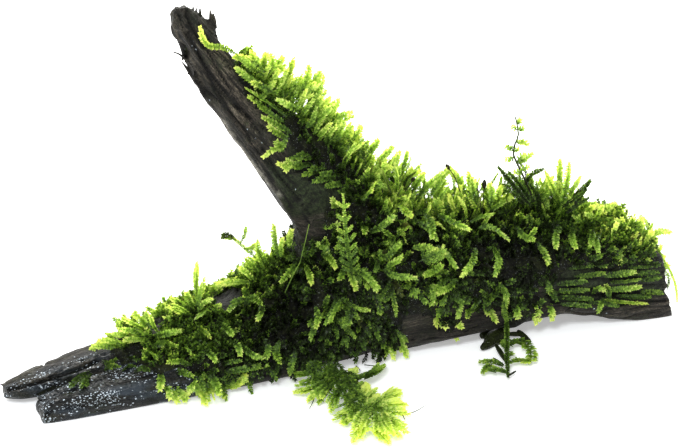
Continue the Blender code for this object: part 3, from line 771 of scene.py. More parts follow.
# Leaves grow from their size at the root to their full one. Near the tip they are smaller and lean in
ROOT_LEAF_SIZE = 0.6
LEAF_GROWTH = 1.6
NEAR_TIP = 0.75
TIP_LEAF_SIZE = 0.82
SPREAD_TO_TIP = (1.05, 0.55)
NARROWEST_LEAF = 0.6
STEM_RADIUS = 0.20
STEM_SIDES = 3
STEM_TIP_TONE = 0.8
LEAF_ROWS = (
    # Side of the stem, tilt out of the flat side, size, angle off the stem, distance apart
    (1, 0.15, 1.0, 0.92, 1.0),
    (-1, 0.15, 1.0, 0.92, 1.0),
    (1, 1.15, 0.74, 0.60, 1.4),
    (-1, 1.0, 0.74, 0.60, 1.8),
    (1, -1.0, 0.74, 0.60, 2.3),
)


class Store:
    """Points, triangles and tints gathered from many shoots, for one piece."""

    def __init__(self):
        self.points, self.triangles, self.tints = [], [], []
        self.count = 0

    def add(self, points, triangles, youth_and_light, dry, tone):
        """youth runs from dark to bright, for old growth and painted shade up to young growth and painted
        light; dry from green to withered.
        """
        points = points.reshape(-1, 3)
        tint = np.empty((len(points), 3))
        tint[:, 0] = youth_and_light
        tint[:, 1] = dry
        tint[:, 2] = tone
        self.points.append(points)
        self.triangles.append(triangles + self.count)
        self.tints.append(tint)
        self.count += len(points)

    def make(self, name):
        points = np.concatenate(self.points)
        triangles = np.concatenate(self.triangles)
        points[:, 2] = np.maximum(points[:, 2], LOWEST_LEAF)
        return make_object(name, points, triangles, tint=np.concatenate(self.tints))


def add_stem(store, points, radius, youth_and_light, dry, tone=0.5, *, face, rings, end=0.35):
    """A thin three-sided stem that tapers to its tip. Its brightness, from age and painted light, is a pair,
    at the root and at the tip.
    """
    t = np.linspace(0.0, 1.0, rings)
    place, heading = path_at(points, t)
    side, up = frames_along(heading, face)
    skin, faces = tube(place, side, up, radius * mix(1.0, end, t), STEM_SIDES)
    store.add(skin, faces, np.repeat(mix(*youth_and_light, t), STEM_SIDES), dry, tone)


def add_leaves(store, rng, place, axes, size, angles, shade, dry, tone):
    """One cupped leaf at each place along a stem.

    axes are the stem's heading, side and up, size the leaf's length and width, and angles how far it spreads
    off the stem and how far it tilts out of the shoot's flat side.
    """
    heading, side, up = axes
    count = len(place)
    spread = angles[0] + rng.normal(0.0, SPREAD_VARIES, count)
    lift = angles[1] + rng.normal(0.0, TILT_VARIES, count)
    outward = side * np.cos(lift)[:, None] + up * np.sin(lift)[:, None]
    way = heading * np.cos(spread)[:, None] + outward * np.sin(spread)[:, None]
    flat = unit(np.cross(way, np.cross(up, way)))
    across = np.cross(flat, way)
    length = (size[0] * rng.uniform(*LENGTH_VARIES, count))[:, None]
    half = np.broadcast_to(size[1], count)[:, None] / 2
    middle = place + way * LEAF_WIDEST * length
    fold = flat * LEAF_FOLD * length
    left = middle + across * half + fold
    right = middle - across * half + fold
    tip = place + way * length + flat * LEAF_CURL * length
    leaf = np.stack([place, left, tip, right], axis=1)
    start = np.arange(count)[:, None] * 4
    faces = np.concatenate([start + (0, 1, 2), start + (0, 2, 3)])
    shade = shade + rng.normal(0.0, LEAF_SHADES, count)
    store.add(leaf, faces, (shade[:, None] + LEAF_CORNER_SHADES).ravel(), dry, tone)


def add_shoot(store, points, face, rng, youth_and_light, dry=0.0, *, leaf, rings, bare=0.0):
    """A feathery shoot: a stem with two full rows of leaves and sparser ones above and below.

    Its brightness, from age and painted light, is a pair, at the root and at the tip. bare is the share of
    the stem that has no leaves, and leaf the leaves' size.
    """
    points = np.asarray(points, float)
    length = path_length(points)
    tone = rng.uniform(0.0, 1.0)
    stem_youth_and_light = (youth_and_light[0], mix(*youth_and_light, STEM_TIP_TONE))
    add_stem(store, points, STEM_RADIUS * leaf, stem_youth_and_light, dry, tone, face=face, rings=rings)
    for turn, lift, size, spread, apart in LEAF_ROWS:
        number = max(2, int(length * (1.0 - bare) / (LEAF_GAP * leaf * apart)))
        t = bare + (1.0 - bare) * (np.arange(number) + rng.uniform(*PLACE_VARIES)) / number
        place, heading = path_at(points, t)
        side, up = frames_along(heading, face)
        grown = (t - bare) / (1.0 - bare)
        near_tip = smooth(NEAR_TIP, 1.0, grown)
        taper = np.minimum(1.0, ROOT_LEAF_SIZE + LEAF_GROWTH * grown) * mix(1.0, TIP_LEAF_SIZE, near_tip)
        long = LEAF_LENGTH * leaf * size * taper
        wide = LEAF_WIDTH * leaf * mix(NARROWEST_LEAF, 1.0, size) * taper
        angles = (spread * mix(*SPREAD_TO_TIP, near_tip), lift)
        axes = (heading, side * turn, up)
        add_leaves(store, rng, place, axes, (long, wide), angles, mix(*youth_and_light, grown), dry, tone)


# A fern's side shoots: how far they lean forwards and twist, how their lengths vary and shrink to its tip,
# their bow, how much brighter their tips are, the leaves' sizes, and where the first pair grows
FERN_FORWARD = 0.85
FERN_TWIST = 0.25
FERN_VARIES = (0.65, 1.15)
FERN_TIP_REACH = 0.45
FERN_BOW = -0.06
FERN_BRIGHTER = 0.12
FERN_MAIN_LEAF = 0.9
FERN_SIDE_LEAF = 0.85
FERN_START = 0.4


def bent(root, way, length, bow, droop=0.0):
    """Three points of a shoot that bows sideways and droops towards its tip."""
    middle = root + way * length * 0.5 + bow
    return np.array([root, middle, root + way * length - AXIS_Z * droop])


def add_fern(store, points, face, rng, reach, youth_and_light, pairs, leaf, dry=0.0, bare=0.15):
    """A main shoot with leafy side shoots in pairs, shorter towards its tip."""
    points = np.asarray(points, float)
    add_shoot(store, points, face, rng, youth_and_light, dry, leaf=leaf * FERN_MAIN_LEAF, rings=7, bare=bare)
    t = bare + (1.0 - bare) * (np.arange(pairs) + FERN_START) / (pairs + FERN_START)
    place, heading = path_at(points, t)
    side, up = frames_along(heading, face)
    shade = mix(*youth_and_light, t)
    for i in range(pairs):
        for turn in (-1, 1):
            way = unit(heading[i] * FERN_FORWARD + side[i] * turn + up[i] * rng.normal(0.0, FERN_TWIST))
            length = reach * mix(1.0, FERN_TIP_REACH, t[i]) * rng.uniform(*FERN_VARIES)
            path = bent(place[i], way, length, heading[i] * length * FERN_BOW)
            side_youth_and_light = (shade[i], shade[i] + FERN_BRIGHTER)
            add_shoot(store, path, up[i], rng, side_youth_and_light, dry, leaf=leaf * FERN_SIDE_LEAF, rings=4)


# Where moss grows

BED_VOXEL = 1.1
BED_SMOOTHING = (3, 2)
DEPTH_SMOOTHING = 4
BED_SHARE = 0.36
BARE_SINK = 1.5
LOWEST_BED = 0.3
BED_LUMPS = (
    # The size of the felt's lumps, their seed and their height
    (2.6, 5.5, 0.8),
    (1.2, 9.5, 0.45),
)

# How far a mat is looked for from the wood, how near its inside has to be, and how deep it counts, at most
# and at least
MAT_REACH = 30.0
MAT_NEAR = 2.2
MAT_DEEPEST = 14.0
MAT_THINNEST = 0.5
OLD_DEPTH = 0.5
PAST_SKIN = 0.02

# The thin growth: how far its ground faces the front, its heights, where it starts and ends along the log,
# its depth, and the size and seed of its spots
THIN_FACING = (0.2, 0.6)
THIN_HEIGHTS = (1.5, 4.0)
THIN_ALONG = ((-16.0, -8.0), (79.0, 74.0))
THIN_DEPTH = 2.2
THIN_SPOTS = (7.0, 7.0, 4.0)
THIN_SEED = 61.0
ROOTING_DEPTHS = (0.6, 2.2)


def mat_thickness(points, normals, tree):
    """How far outwards the moss mats reach from each point on the wood, or 0 where no mat covers it."""
    found = np.zeros(len(points))
    for i, (point, normal) in enumerate(zip(points, normals)):
        start = Vector(point)
        way = Vector(normal)
        hit, _, _, near = tree.ray_cast(start, way, MAT_REACH)
        if hit is None or near > MAT_NEAR:
            continue
        again, _, _, further = tree.ray_cast(hit + way * PAST_SKIN, way, MAT_REACH)
        if again is not None:
            found[i] = near + further
    return found


def thin_cover(points, normals):
    """The thin growth low on the log's front and at its right end, below the mats."""
    x, _, z = points.T
    front = smooth(*THIN_FACING, -normals[:, 1])
    low = smooth(*THIN_HEIGHTS, z) * smooth(*THIN_ALONG[0], x) * smooth(*THIN_ALONG[1], x) * front
    patches = noise_at(points, np.array(THIN_SPOTS), THIN_SEED)
    return THIN_DEPTH * low * smooth(-0.10, 0.20, patches + 0.15 * smooth(40.0, 60.0, x))


BARE_PATCHES = traced(
    # Where the front of the wood shows no moss, as polygons of the picture
    (509, 326, 530, 320, 536, 345, 509, 345),
    (150, 0, 216, 0, 222, 44, 234, 52, 236, 70, 246, 92, 256, 112, 261, 140, 262, 158, 286, 172, 303, 176,
     322, 184, 346, 186, 344, 200, 330, 212, 308, 216, 290, 214, 150, 70),
    (398, 316, 432, 312, 440, 326, 446, 336, 398, 350), (462, 316, 504, 306, 504, 336, 462, 340),
    (558, 266, 600, 266, 644, 268, 658, 268, 690, 262, 690, 330, 520, 330, 540, 308, 560, 300),
    (216, 292, 240, 286, 246, 294, 230, 306, 212, 308), (664, 236, 690, 236, 690, 330, 666, 330),
    (0, 340, 96, 340, 112, 352, 128, 372, 150, 376, 158, 392, 158, 430, 0, 430),
)
THIN_PATCHES = traced(
    # Where it is short and old
    (280, 96, 300, 104, 330, 140, 358, 172, 384, 184, 360, 186, 322, 184, 300, 172, 288, 150, 284, 120),
    (470, 254, 508, 244, 548, 256, 560, 300, 530, 304, 512, 286, 478, 282),
    (384, 284, 430, 298, 436, 312, 398, 316, 372, 306),
    (236, 318, 262, 314, 300, 300, 330, 340, 300, 346, 262, 344, 240, 336),
    (396, 232, 430, 240, 440, 256, 420, 268, 396, 262),
)


def moss_ground(mats):
    """The wood's surface with the moss's thickness over it, from which the shoots grow."""
    points, triangles, normals = wood_skin(BED_VOXEL, *BED_SMOOTHING)
    depth = np.minimum(mat_thickness(points, normals, mats), MAT_DEEPEST)
    depth = np.maximum(depth, thin_cover(points, normals))
    depth[in_patches(points, normals, BARE_PATCHES)] = 0.0
    old = painted(points, normals, triangles, THIN_PATCHES)
    depth = neighbour_mean(depth * mix(1.0, OLD_DEPTH, old), triangles, DEPTH_SMOOTHING)
    depth[depth < MAT_THINNEST] = 0.0
    return points, triangles, normals, depth, old


def make_bed(points, triangles, normals, depth):
    """The dark felt of old moss under the shoots."""
    lumps = sum(tall * noise_at(points, size, seed) for size, seed, tall in BED_LUMPS)
    out = np.where(depth > 0.0, depth * BED_SHARE + lumps * smooth(0.5, 3.0, depth), -BARE_SINK)
    skin = points + normals * out[:, None]
    skin[:, 2] = np.maximum(skin[:, 2], LOWEST_BED)
    return make_object("moss_bed", skin, triangles, True)


def bed_material():
    n = Nodes("old_moss_felt")
    place = n.add("ShaderNodeTexCoord").outputs["Object"]
    lumps = n.noise(place, 1100.0, 5.0, 0.7)
    wide = n.noise(place, 160.0, 3.0)
    colour = n.ramp(n.math("ADD", n.times(lumps, 0.7), n.times(wide, 0.3)), [
        (0.40, (0.0010, 0.0010, 0.0007)),
        (0.50, (0.004, 0.0045, 0.002)),
        (0.60, (0.020, 0.024, 0.008)),
    ])
    # Painted glints: pale specks in the felt's colour
    painted_glint = n.times(n.math("GREATER_THAN", n.noise(place, 3400.0, 1.0), 0.70), 0.5)
    colour = n.blend(painted_glint, colour, (0.30, 0.34, 0.32))
    shader = n.add("ShaderNodeBsdfPrincipled", {
        "Base Color": colour,
        "Roughness": n.span(lumps, 0.4, 0.6, 0.35, 0.7),
        "Specular IOR Level": 0.12,
        "Normal": n.bump(lumps, 1.0, 0.0008),
    })
    return n.finish(shader.outputs["BSDF"])


def moss_material():
    n = Nodes("java_moss")
    tint = n.add("ShaderNodeSeparateXYZ", {0: n.attribute("tint", "Vector")})
    youth_and_light, dry, tone = tint.outputs
    place = n.add("ShaderNodeTexCoord").outputs["Object"]
    cells = n.noise(place, 2600.0, 3.0, 0.6)
    shade = n.math("ADD", youth_and_light, n.span(cells, 0.3, 0.7, -0.08, 0.08))
    shade = n.math("ADD", shade, n.span(tone, 0.0, 1.0, -0.07, 0.07))
    # From dark to bright: old growth and painted shade at the dark end, young growth and painted light at the
    # bright end
    green = n.ramp(shade, [
        (0.00, (0.007, 0.008, 0.005)),
        (0.25, (0.022, 0.036, 0.011)),
        (0.50, (0.098, 0.186, 0.030)),
        (0.75, (0.350, 0.558, 0.077)),
        (1.00, (0.860, 0.960, 0.270)),
    ])
    warm = n.blend(1.0, green, (1.0, 0.90, 0.70), "MULTIPLY")
    colour = n.blend(n.span(tone, 0.6, 1.0, 0.0, 0.4), green, warm)
    withered = n.ramp(cells, [(0.35, (0.010, 0.008, 0.005)), (0.65, (0.045, 0.038, 0.016))])
    colour = n.blend(dry, colour, withered)
    # Painted glints: pale specks in the leaves' colour where water would glitter
    painted_glint = n.times(n.math("GREATER_THAN", n.noise(place, 3000.0, 1.0), 0.735), 0.55)
    colour = n.blend(painted_glint, colour, (0.45, 0.50, 0.42))
    through = n.blend(1.0, colour, (1.10, 1.10, 0.70), "MULTIPLY")
    front = n.add("ShaderNodeBsdfPrincipled", {
        "Base Color": colour,
        "Roughness": n.span(cells, 0.3, 0.7, 0.22, 0.42),
        "IOR": 1.4,
        "Specular IOR Level": 0.24,
        "Normal": n.bump(cells, 0.35, 0.0001),
    })
    behind = n.add("ShaderNodeBsdfTranslucent", {"Color": through})
    both = n.add("ShaderNodeMixShader", {0: 0.48, 1: front.outputs["BSDF"], 2: behind.outputs["BSDF"]})
    return n.finish(both.outputs["Shader"])


def scatter(ground, density, rng):
    """Random rooting places over the mats: place, the way out, the moss's depth and how old it is.

    density is for each mm2.
    """
    points, triangles, normals, depth, old = ground
    corners = points[triangles]
    area = np.linalg.norm(np.cross(corners[:, 1] - corners[:, 0], corners[:, 2] - corners[:, 0]), axis=1) / 2
    deep = depth[triangles].mean(axis=1)
    weight = area * smooth(*ROOTING_DEPTHS, deep)
    count = int(weight.sum() * density)
    pick = rng.choice(len(triangles), count, p=weight / weight.sum())
    a, b = rng.uniform(0, 1, (2, count))
    flip = a + b > 1
    a[flip], b[flip] = 1 - a[flip], 1 - b[flip]
    c = 1 - a - b
    share = np.stack([a, b, c], axis=1)[:, :, None]
    where = (corners[pick] * share).sum(axis=1)
    out = unit((normals[triangles[pick]] * share).sum(axis=1))
    return where, out, deep[pick], old[triangles].mean(axis=1)[pick]


# Places along the log, between which something sets in: shoots that lie along it, the moss's thin right end,
# painted light through the left mat's shoots, the dim stretch left of the branch, and the painted glow
# round its foot
COMBED_END = (46.0, 62.0)
RIGHT_END = (56.0, 66.0)
BACKLIT = (-8.0, -16.0)
DIM_LEFT = (-20.0, 0.0)
GLOW_ALONG = ((-14.0, -5.0), (28.0, 14.0))
GLOW_HEIGHTS = (13.0, 24.0)
BACKWARD = (0.3, 0.8)
UPRIGHT_FROM = (0.35, 0.85)
MAT_UPRIGHT_FROM = (0.2, 0.8)
HEADING_VARIES = 0.12
FACE_VARIES = 0.22
YAW_VARIES = 0.5


def on_branch_share(place):
    """1 for a single place on the branch, 0 on the log."""
    return float(branch_share(place[None])[0])


def crest_heading(out, rng):
    return out * 0.5 + AXIS_Z * 0.9 + AXIS_X * rng.normal(0.0, 0.55)


def flank_heading(place, out, rng):
    """Hanging or any way on the log's flanks, along the log at its right end, and outwards at its back."""
    turn = rng.choice((rng.normal(-1.57, 0.6), rng.uniform(-3.1, 3.1)))
    turn = mix(turn, rng.normal(0.0, 0.4), smooth(*COMBED_END, place[0]) * 0.7)
    outward = out * mix(0.42, 1.3, smooth(*BACKWARD, out[1]))
    return outward + AXIS_X * math.cos(turn) + AXIS_Z * math.sin(turn)


def branch_heading(out, rng):
    """Outwards at the branch's edges, and up along it at its sides."""
    side = abs(out[1])
    rise = AXIS_Z * rng.uniform(0.0, 0.7)
    return out * mix(0.9, 0.35, side) + rise + BRANCH_AXIS * side * rng.uniform(0.2, 1.0)


def shoot_way(place, out, rng):
    """The heading of a shoot and the way its flat side looks, by where it grows."""
    on_branch = on_branch_share(place)
    upright = smooth(*UPRIGHT_FROM, out[2])
    crest_way = crest_heading(out, rng)
    log_way = unit(mix(flank_heading(place, out, rng), crest_way, upright))
    branch_way = unit(branch_heading(out, rng))
    way = unit(mix(log_way, branch_way, on_branch) + rng.normal(0.0, HEADING_VARIES, 3))
    yaw = rng.normal(0.0, YAW_VARIES)
    flat = out * (1.0 - upright) + np.array((math.sin(yaw), -math.cos(yaw), 0.0)) * (upright + 0.2)
    return way, unit(flat + rng.normal(0.0, FACE_VARIES, 3))


CREST_LINE = (
    # The log's crest, as places along the log and heights
    (-60.0, 11.0), (-40.0, 16.0), (-13.0, 30.0), (0.0, 50.0), (20.0, 41.0), (45.0, 36.0), (62.0, 28.0),
    (84.0, 20.0),
)
CREST_BAND = 15.0
BEHIND = 4.0
LOG_PIECES = ((-13.0, "moss_left"), (14.0, "moss_middle"), (42.0, "moss_crest"), (math.inf, "moss_right"))
BRANCH_RIGHT = 16.0
SHADE_WAVES = (
    # The size of the moss's brighter and darker spots in millimetres, and their strength
    (6.0, 0.16),
    (2.0, 0.10),
)


def on_line(x, line):
    """The height of a line of (place, height) pairs at a place."""
    return np.interp(x, *zip(*line))


def height_share(place):
    """1 along the log's crest, 0 a band's width below it."""
    crest = on_line(place[0], CREST_LINE)
    return float(smooth(0.0, 1.0, (place[2] - crest + CREST_BAND) / CREST_BAND))


def log_shade(place):
    """Painted light: brighter towards the crest, less so left of the branch, with a painted glow round the
    branch's foot.
    """
    x, _, z = place
    glow = smooth(*GLOW_ALONG[0], x) * smooth(*GLOW_ALONG[1], x) * smooth(*GLOW_HEIGHTS, z)
    right = mix(0.45, 1.0, smooth(*DIM_LEFT, x))
    return 0.24 + 0.63 * height_share(place) ** 1.3 * right + 0.10 * glow


def shade_of(place, out):
    """How bright the moss is painted at a place: 0 for painted shade in hollows low on the flanks, 1 for
    painted light along the crests and edges.
    """
    branch_shade = 0.14 + 0.60 * max(0.0, float(out @ BRANCH_SIDE))
    bright = mix(log_shade(place), branch_shade, on_branch_share(place))
    for size, strength in SHADE_WAVES:
        bright += strength * noise.noise(Vector(place) / size)
    return bright


def lit_from_behind(place, out):
    """1 for the left mat's shoots that lean back over its top edge, painted bright as if light came through
    them.
    """
    return float(smooth(*BACKLIT, place[0]) * smooth(0.0, 0.5, out[1]))


def over_bare_wood(path):
    """Whether a shoot would show in front of wood that the photo leaves bare."""
    outer = path[path[:, 1] < BEHIND]
    return in_patches(outer, np.repeat(-LOOK[None], len(outer), axis=0), BARE_PATCHES).any()


def piece_of(place):
    """The piece that a shoot belongs to, by where it grows."""
    if on_branch_share(place) > 0.5 and place[0] < BRANCH_RIGHT:
        return "moss_branch"
    return next(name for end, name in LOG_PIECES if place[0] < end)


UNDERGROWTH_DENSITY = 0.85
UNDERGROWTH_LENGTH = (2.0, 3.6)
UNDERGROWTH_LEAF = 0.85
UNDERGROWTH_ROOTS = (0.1, 0.45)
UNDERGROWTH_BOW = 0.22
UNDERGROWTH_GAPS = 0.6
UNDERGROWTH_BACKLIT = (0.42, 0.62)
MAT_DENSITY = 0.95
MAT_LENGTH = (3.6, 7.6)
MAT_LEAF = (0.72, 0.98)
MAT_BACKLIT = (0.50, 0.72)
MAT_SHADES = (0.75, 1.25)
MAT_BOW = 0.09
MAT_DROOP = 0.06
SHORTEST_SHOOT = 2.4
SHALLOWEST_ROOT = 0.3
LEAST_CLIMB = 0.2
WITHERED = 0.85
CLUMP_SIZE = 3.6
WITHERED_SHARE = 0.025
FERN_SHARE = 0.22
FERN_LONGER_THAN = 4.0
FERN_REACH = 0.42


def grow_undergrowth(stores, ground):
    """Short old shoots close to the wood."""
    rng = np.random.default_rng(40)
    for place, out, depth, old in zip(*scatter(ground, UNDERGROWTH_DENSITY, rng)):
        if rng.uniform() < UNDERGROWTH_GAPS * old:
            continue
        way, face = shoot_way(place, out, rng)
        root = place + out * depth * rng.uniform(*UNDERGROWTH_ROOTS)
        length = rng.uniform(*UNDERGROWTH_LENGTH)
        path = bent(root, way, length, rng.normal(0.0, UNDERGROWTH_BOW, 3))
        if over_bare_wood(path[1:]):
            continue
        on_branch = on_branch_share(place)
        # Painted light: brighter towards the crest and the branch's upper edge
        edge = mix(height_share(place), max(0.0, float(out @ BRANCH_SIDE)), on_branch)
        bright = min(0.13 + 0.52 * edge, 0.8 * shade_of(root, out) - 0.04) - 0.10 * old
        bright = mix(bright, rng.uniform(*UNDERGROWTH_BACKLIT), lit_from_behind(place, out))
        youth_and_light = (bright - 0.1, bright + 0.16)
        add_shoot(stores[piece_of(place)], path, face, rng, youth_and_light, leaf=UNDERGROWTH_LEAF, rings=3)


def right_end_share(place):
    """1 at the log's right end, where the moss is thinner and lower."""
    return float(smooth(*RIGHT_END, place[0]))


def mat_chance(place, out, clump, old):
    """How likely a shoot grows: in clumps on the flanks, evenly on the crests, seldom in old moss."""
    upright = smooth(*MAT_UPRIGHT_FROM, out[2])
    right_end = right_end_share(place)
    return mix(0.06 + 0.40 * clump, 0.62, upright) * (1.0 - 0.88 * old) * (1.0 - 0.3 * right_end)


def mat_path(place, out, depth, way, rng):
    """A shoot with its tip near the mat's outer form and its root inside the mat, and its length."""
    upright = smooth(*MAT_UPRIGHT_FROM, out[2])
    backward = smooth(*BACKWARD, out[1])
    on_branch = on_branch_share(place)
    length = rng.uniform(*MAT_LENGTH) * mix(1.0, 0.85, upright) * mix(1.0, 0.62, on_branch)
    reach = mix(rng.uniform(0.42, 0.9), rng.uniform(1.0, 1.4), backward)
    tip_height = depth * reach * mix(1.0, 0.8, upright) * mix(1.0, 0.75, right_end_share(place))
    climb = max(LEAST_CLIMB, float(way @ out))
    root = place + out * max(SHALLOWEST_ROOT, tip_height - length * climb)
    length = min(length, max(SHORTEST_SHOOT, tip_height / climb))
    bow = rng.normal(0.0, MAT_BOW * length, 3)
    return bent(root, way, length, bow, droop=MAT_DROOP * length), length


def grow_mats(stores, ground):
    """The shoots that make the moss's outer form."""
    rng = np.random.default_rng(41)
    for place, out, depth, old in zip(*scatter(ground, MAT_DENSITY, rng)):
        clump = float(smooth(-0.22, 0.30, noise.noise(Vector(place) / CLUMP_SIZE)))
        if rng.uniform() > mat_chance(place, out, clump, old):
            continue
        way, face = shoot_way(place, out, rng)
        path, length = mat_path(place, out, depth, way, rng)
        if over_bare_wood(path[1:]):
            continue
        bright = (shade_of(path[0] + out * 2.0, out) + 0.12 * (clump - 0.4)) * rng.uniform(*MAT_SHADES)
        bright = mix(bright - 0.18 * old, rng.uniform(*MAT_BACKLIT), lit_from_behind(place, out))
        dry = WITHERED if rng.uniform() < WITHERED_SHARE else 0.0
        youth_and_light = (bright - 0.16, bright + 0.32)
        leaf = rng.uniform(*MAT_LEAF)
        store = stores[piece_of(place)]
        if length > FERN_LONGER_THAN and rng.uniform() < FERN_SHARE:
            add_fern(store, path, face, rng, FERN_REACH * length, youth_and_light, 2, leaf * 0.95, dry)
        else:
            add_shoot(store, path, face, rng, youth_and_light, dry, leaf=leaf, rings=4)


# Shoots that stand out in the photo, as points of the picture from root to tip

BRANCH_EDGE = traced(
    (258, 76, 254, 63, 252, 51), (264, 76, 264, 64, 266, 54), (268, 74, 273, 64, 271, 54),
    (270, 76, 276, 66, 282, 57), (284, 80, 289, 68, 293, 59), (290, 88, 294, 84, 299, 78),
    (302, 97, 306, 82, 309, 66), (304, 98, 312, 84, 320, 72), (308, 98, 317, 88, 324, 77),
    (310, 112, 318, 104, 322, 97), (318, 118, 329, 109, 339, 100), (316, 114, 322, 106, 328, 99),
    (325, 124, 338, 117, 352, 112), (322, 128, 332, 122, 338, 114), (336, 142, 340, 131, 344, 122),
    (342, 146, 347, 137, 349, 128), (350, 162, 354, 144, 360, 126), (346, 158, 350, 148, 352, 140),
    (362, 162, 369, 151, 377, 140), (358, 166, 362, 158, 366, 152), (374, 173, 381, 159, 392, 147),
    (380, 178, 391, 165, 400, 152), (376, 178, 382, 168, 386, 160), (401, 176, 404, 162, 407, 152),
    (395, 184, 404, 178, 416, 172), (296, 100, 300, 92, 304, 86), (250, 72, 250, 64, 247, 58),
)
BRANCH_FRONT = traced(
    (264, 76, 250, 66, 240, 58, 233, 57), (266, 72, 254, 62, 242, 54), (272, 92, 258, 84, 246, 76, 236, 68),
    (276, 94, 262, 86, 252, 82), (286, 116, 272, 106, 258, 97, 246, 89),
    (284, 122, 268, 112, 256, 102, 248, 97), (292, 134, 282, 128, 272, 122, 262, 117),
    (286, 138, 276, 132, 268, 126), (288, 134, 282, 146, 274, 149, 263, 157),
    (283, 152, 280, 146, 276, 141), (304, 156, 296, 164, 286, 166, 278, 163),
    (292, 156, 289, 164, 286, 171), (302, 168, 294, 166, 286, 160), (300, 112, 290, 106, 278, 100),
)
BRANCH_LOW = traced(
    (330, 171, 316, 171, 303, 175), (342, 178, 328, 178, 313, 181), (322, 162, 309, 164, 297, 167),
    (336, 165, 322, 166, 310, 170), (350, 182, 338, 184, 326, 186), (346, 172, 334, 173, 321, 174),
    (314, 150, 304, 154, 294, 158), (358, 186, 350, 190, 340, 192), (326, 158, 316, 157, 306, 160),
)
CREST = traced(
    (396, 190, 398, 176, 396, 164), (404, 190, 408, 178, 412, 168), (412, 192, 418, 181, 424, 173),
    (418, 196, 430, 184, 446, 170), (430, 196, 440, 182, 450, 168), (470, 206, 462, 184, 450, 168),
    (470, 200, 470, 186, 468, 172), (476, 204, 473, 190, 472, 178), (455, 208, 457, 196, 460, 186),
    (440, 200, 436, 190, 430, 184), (490, 206, 492, 194, 490, 184), (500, 206, 498, 194, 502, 186),
    (486, 210, 500, 200, 512, 194), (548, 210, 546, 194, 552, 178), (556, 204, 558, 182, 559, 160),
    (562, 206, 566, 186, 569, 163), (560, 204, 552, 186, 546, 174), (566, 208, 572, 190, 580, 176),
    (576, 216, 586, 206, 595, 203), (584, 220, 588, 210, 594, 206), (596, 222, 603, 212, 615, 203),
    (592, 226, 598, 214, 602, 206), (580, 220, 585, 212, 590, 208),
)
CREST_OLD = traced(
    (530, 205, 514, 186, 498, 167), (524, 200, 514, 190, 502, 184), (528, 200, 520, 186, 508, 172),
    (534, 200, 528, 190, 520, 178), (540, 212, 538, 196, 530, 184), (526, 184, 532, 174, 543, 169),
    (572, 212, 580, 198, 590, 181), (562, 208, 573, 200, 584, 193),
)
RIGHT_TOP = traced(
    (616, 246, 614, 232, 618, 220), (624, 248, 622, 232, 622, 218), (630, 246, 631, 230, 634, 215),
    (638, 244, 640, 230, 641, 218), (644, 246, 648, 238, 652, 231), (646, 250, 652, 244, 656, 238),
    (648, 256, 656, 252, 661, 246), (650, 264, 658, 262, 664, 256), (654, 268, 661, 268, 667, 264),
    (612, 236, 607, 228, 604, 222), (650, 240, 658, 232, 671, 232), (620, 264, 624, 248, 628, 230),
    (632, 264, 637, 250, 642, 234), (640, 264, 646, 254, 651, 245), (610, 258, 614, 248, 617, 236),
    (626, 262, 632, 250, 636, 240), (616, 262, 610, 252, 606, 242), (648, 266, 650, 256, 656, 248),
)
RIGHT_FRONT = traced(
    (604, 276, 620, 274, 635, 272), (606, 290, 624, 289, 640, 287), (600, 300, 624, 303, 646, 304),
    (604, 298, 600, 306, 598, 312), (610, 300, 608, 290, 606, 284), (592, 294, 597, 288, 604, 290),
    (612, 246, 618, 254, 620, 264), (610, 262, 616, 258, 624, 252), (636, 252, 642, 256, 650, 260),
)
GRAIN_COMBS = traced(
    (566, 268, 582, 266, 598, 264), (574, 276, 590, 275, 604, 273), (556, 284, 572, 283, 586, 281),
    (570, 258, 584, 256, 596, 256), (610, 282, 626, 281, 640, 279), (616, 296, 634, 297, 650, 297),
    (624, 266, 640, 266, 654, 265), (588, 302, 604, 303, 618, 306), (630, 274, 644, 273, 658, 272),
    (556, 297, 574, 298, 592, 299), (552, 291, 570, 291, 588, 290), (640, 280, 650, 279, 660, 277),
    (640, 292, 652, 292, 662, 293), (560, 304, 576, 305, 590, 306),
)
FRONT = traced(
    (478, 228, 492, 228, 508, 240), (438, 214, 454, 222, 469, 229), (418, 222, 430, 230, 436, 240),
    (412, 248, 424, 247, 434, 249), (436, 245, 447, 256, 456, 268), (476, 248, 472, 262, 462, 276),
    (492, 246, 499, 258, 495, 276), (500, 284, 506, 296, 504, 312), (456, 282, 448, 288, 438, 294),
    (442, 266, 433, 272, 424, 276), (538, 246, 545, 254, 548, 264), (516, 226, 524, 236, 534, 240),
    (526, 242, 531, 235, 535, 228), (456, 290, 460, 302, 458, 318), (470, 300, 469, 310, 467, 318),
    (384, 270, 396, 276, 416, 278), (384, 270, 393, 264, 402, 257), (370, 232, 382, 226, 394, 216),
    (338, 224, 336, 210, 332, 198), (330, 262, 326, 250, 318, 244), (346, 264, 352, 278, 356, 290),
    (352, 266, 366, 276, 378, 288), (368, 276, 374, 284, 377, 290), (344, 268, 342, 276, 340, 280),
    (320, 234, 332, 236, 344, 232), (318, 226, 328, 226, 340, 224), (320, 252, 330, 258, 336, 268),
    (316, 306, 318, 318, 316, 328), (342, 298, 336, 310, 330, 322), (298, 264, 290, 272, 280, 282),
    (303, 264, 309, 272, 312, 284), (372, 190, 379, 185, 392, 190), (362, 200, 366, 194, 372, 190),
    (362, 222, 365, 228, 364, 234), (386, 260, 394, 250, 400, 244), (400, 200, 404, 210, 412, 216),
    (424, 212, 432, 226, 432, 238), (430, 270, 437, 268, 442, 264), (470, 222, 480, 216, 492, 214),
    (560, 226, 556, 236, 556, 248), (572, 226, 572, 238, 576, 248), (588, 222, 592, 234, 590, 246),
    (600, 232, 596, 240, 598, 252), (446, 306, 440, 300, 430, 304), (488, 296, 486, 306, 488, 314),
    (530, 290, 532, 300, 536, 308), (548, 280, 549, 288, 551, 294),
)
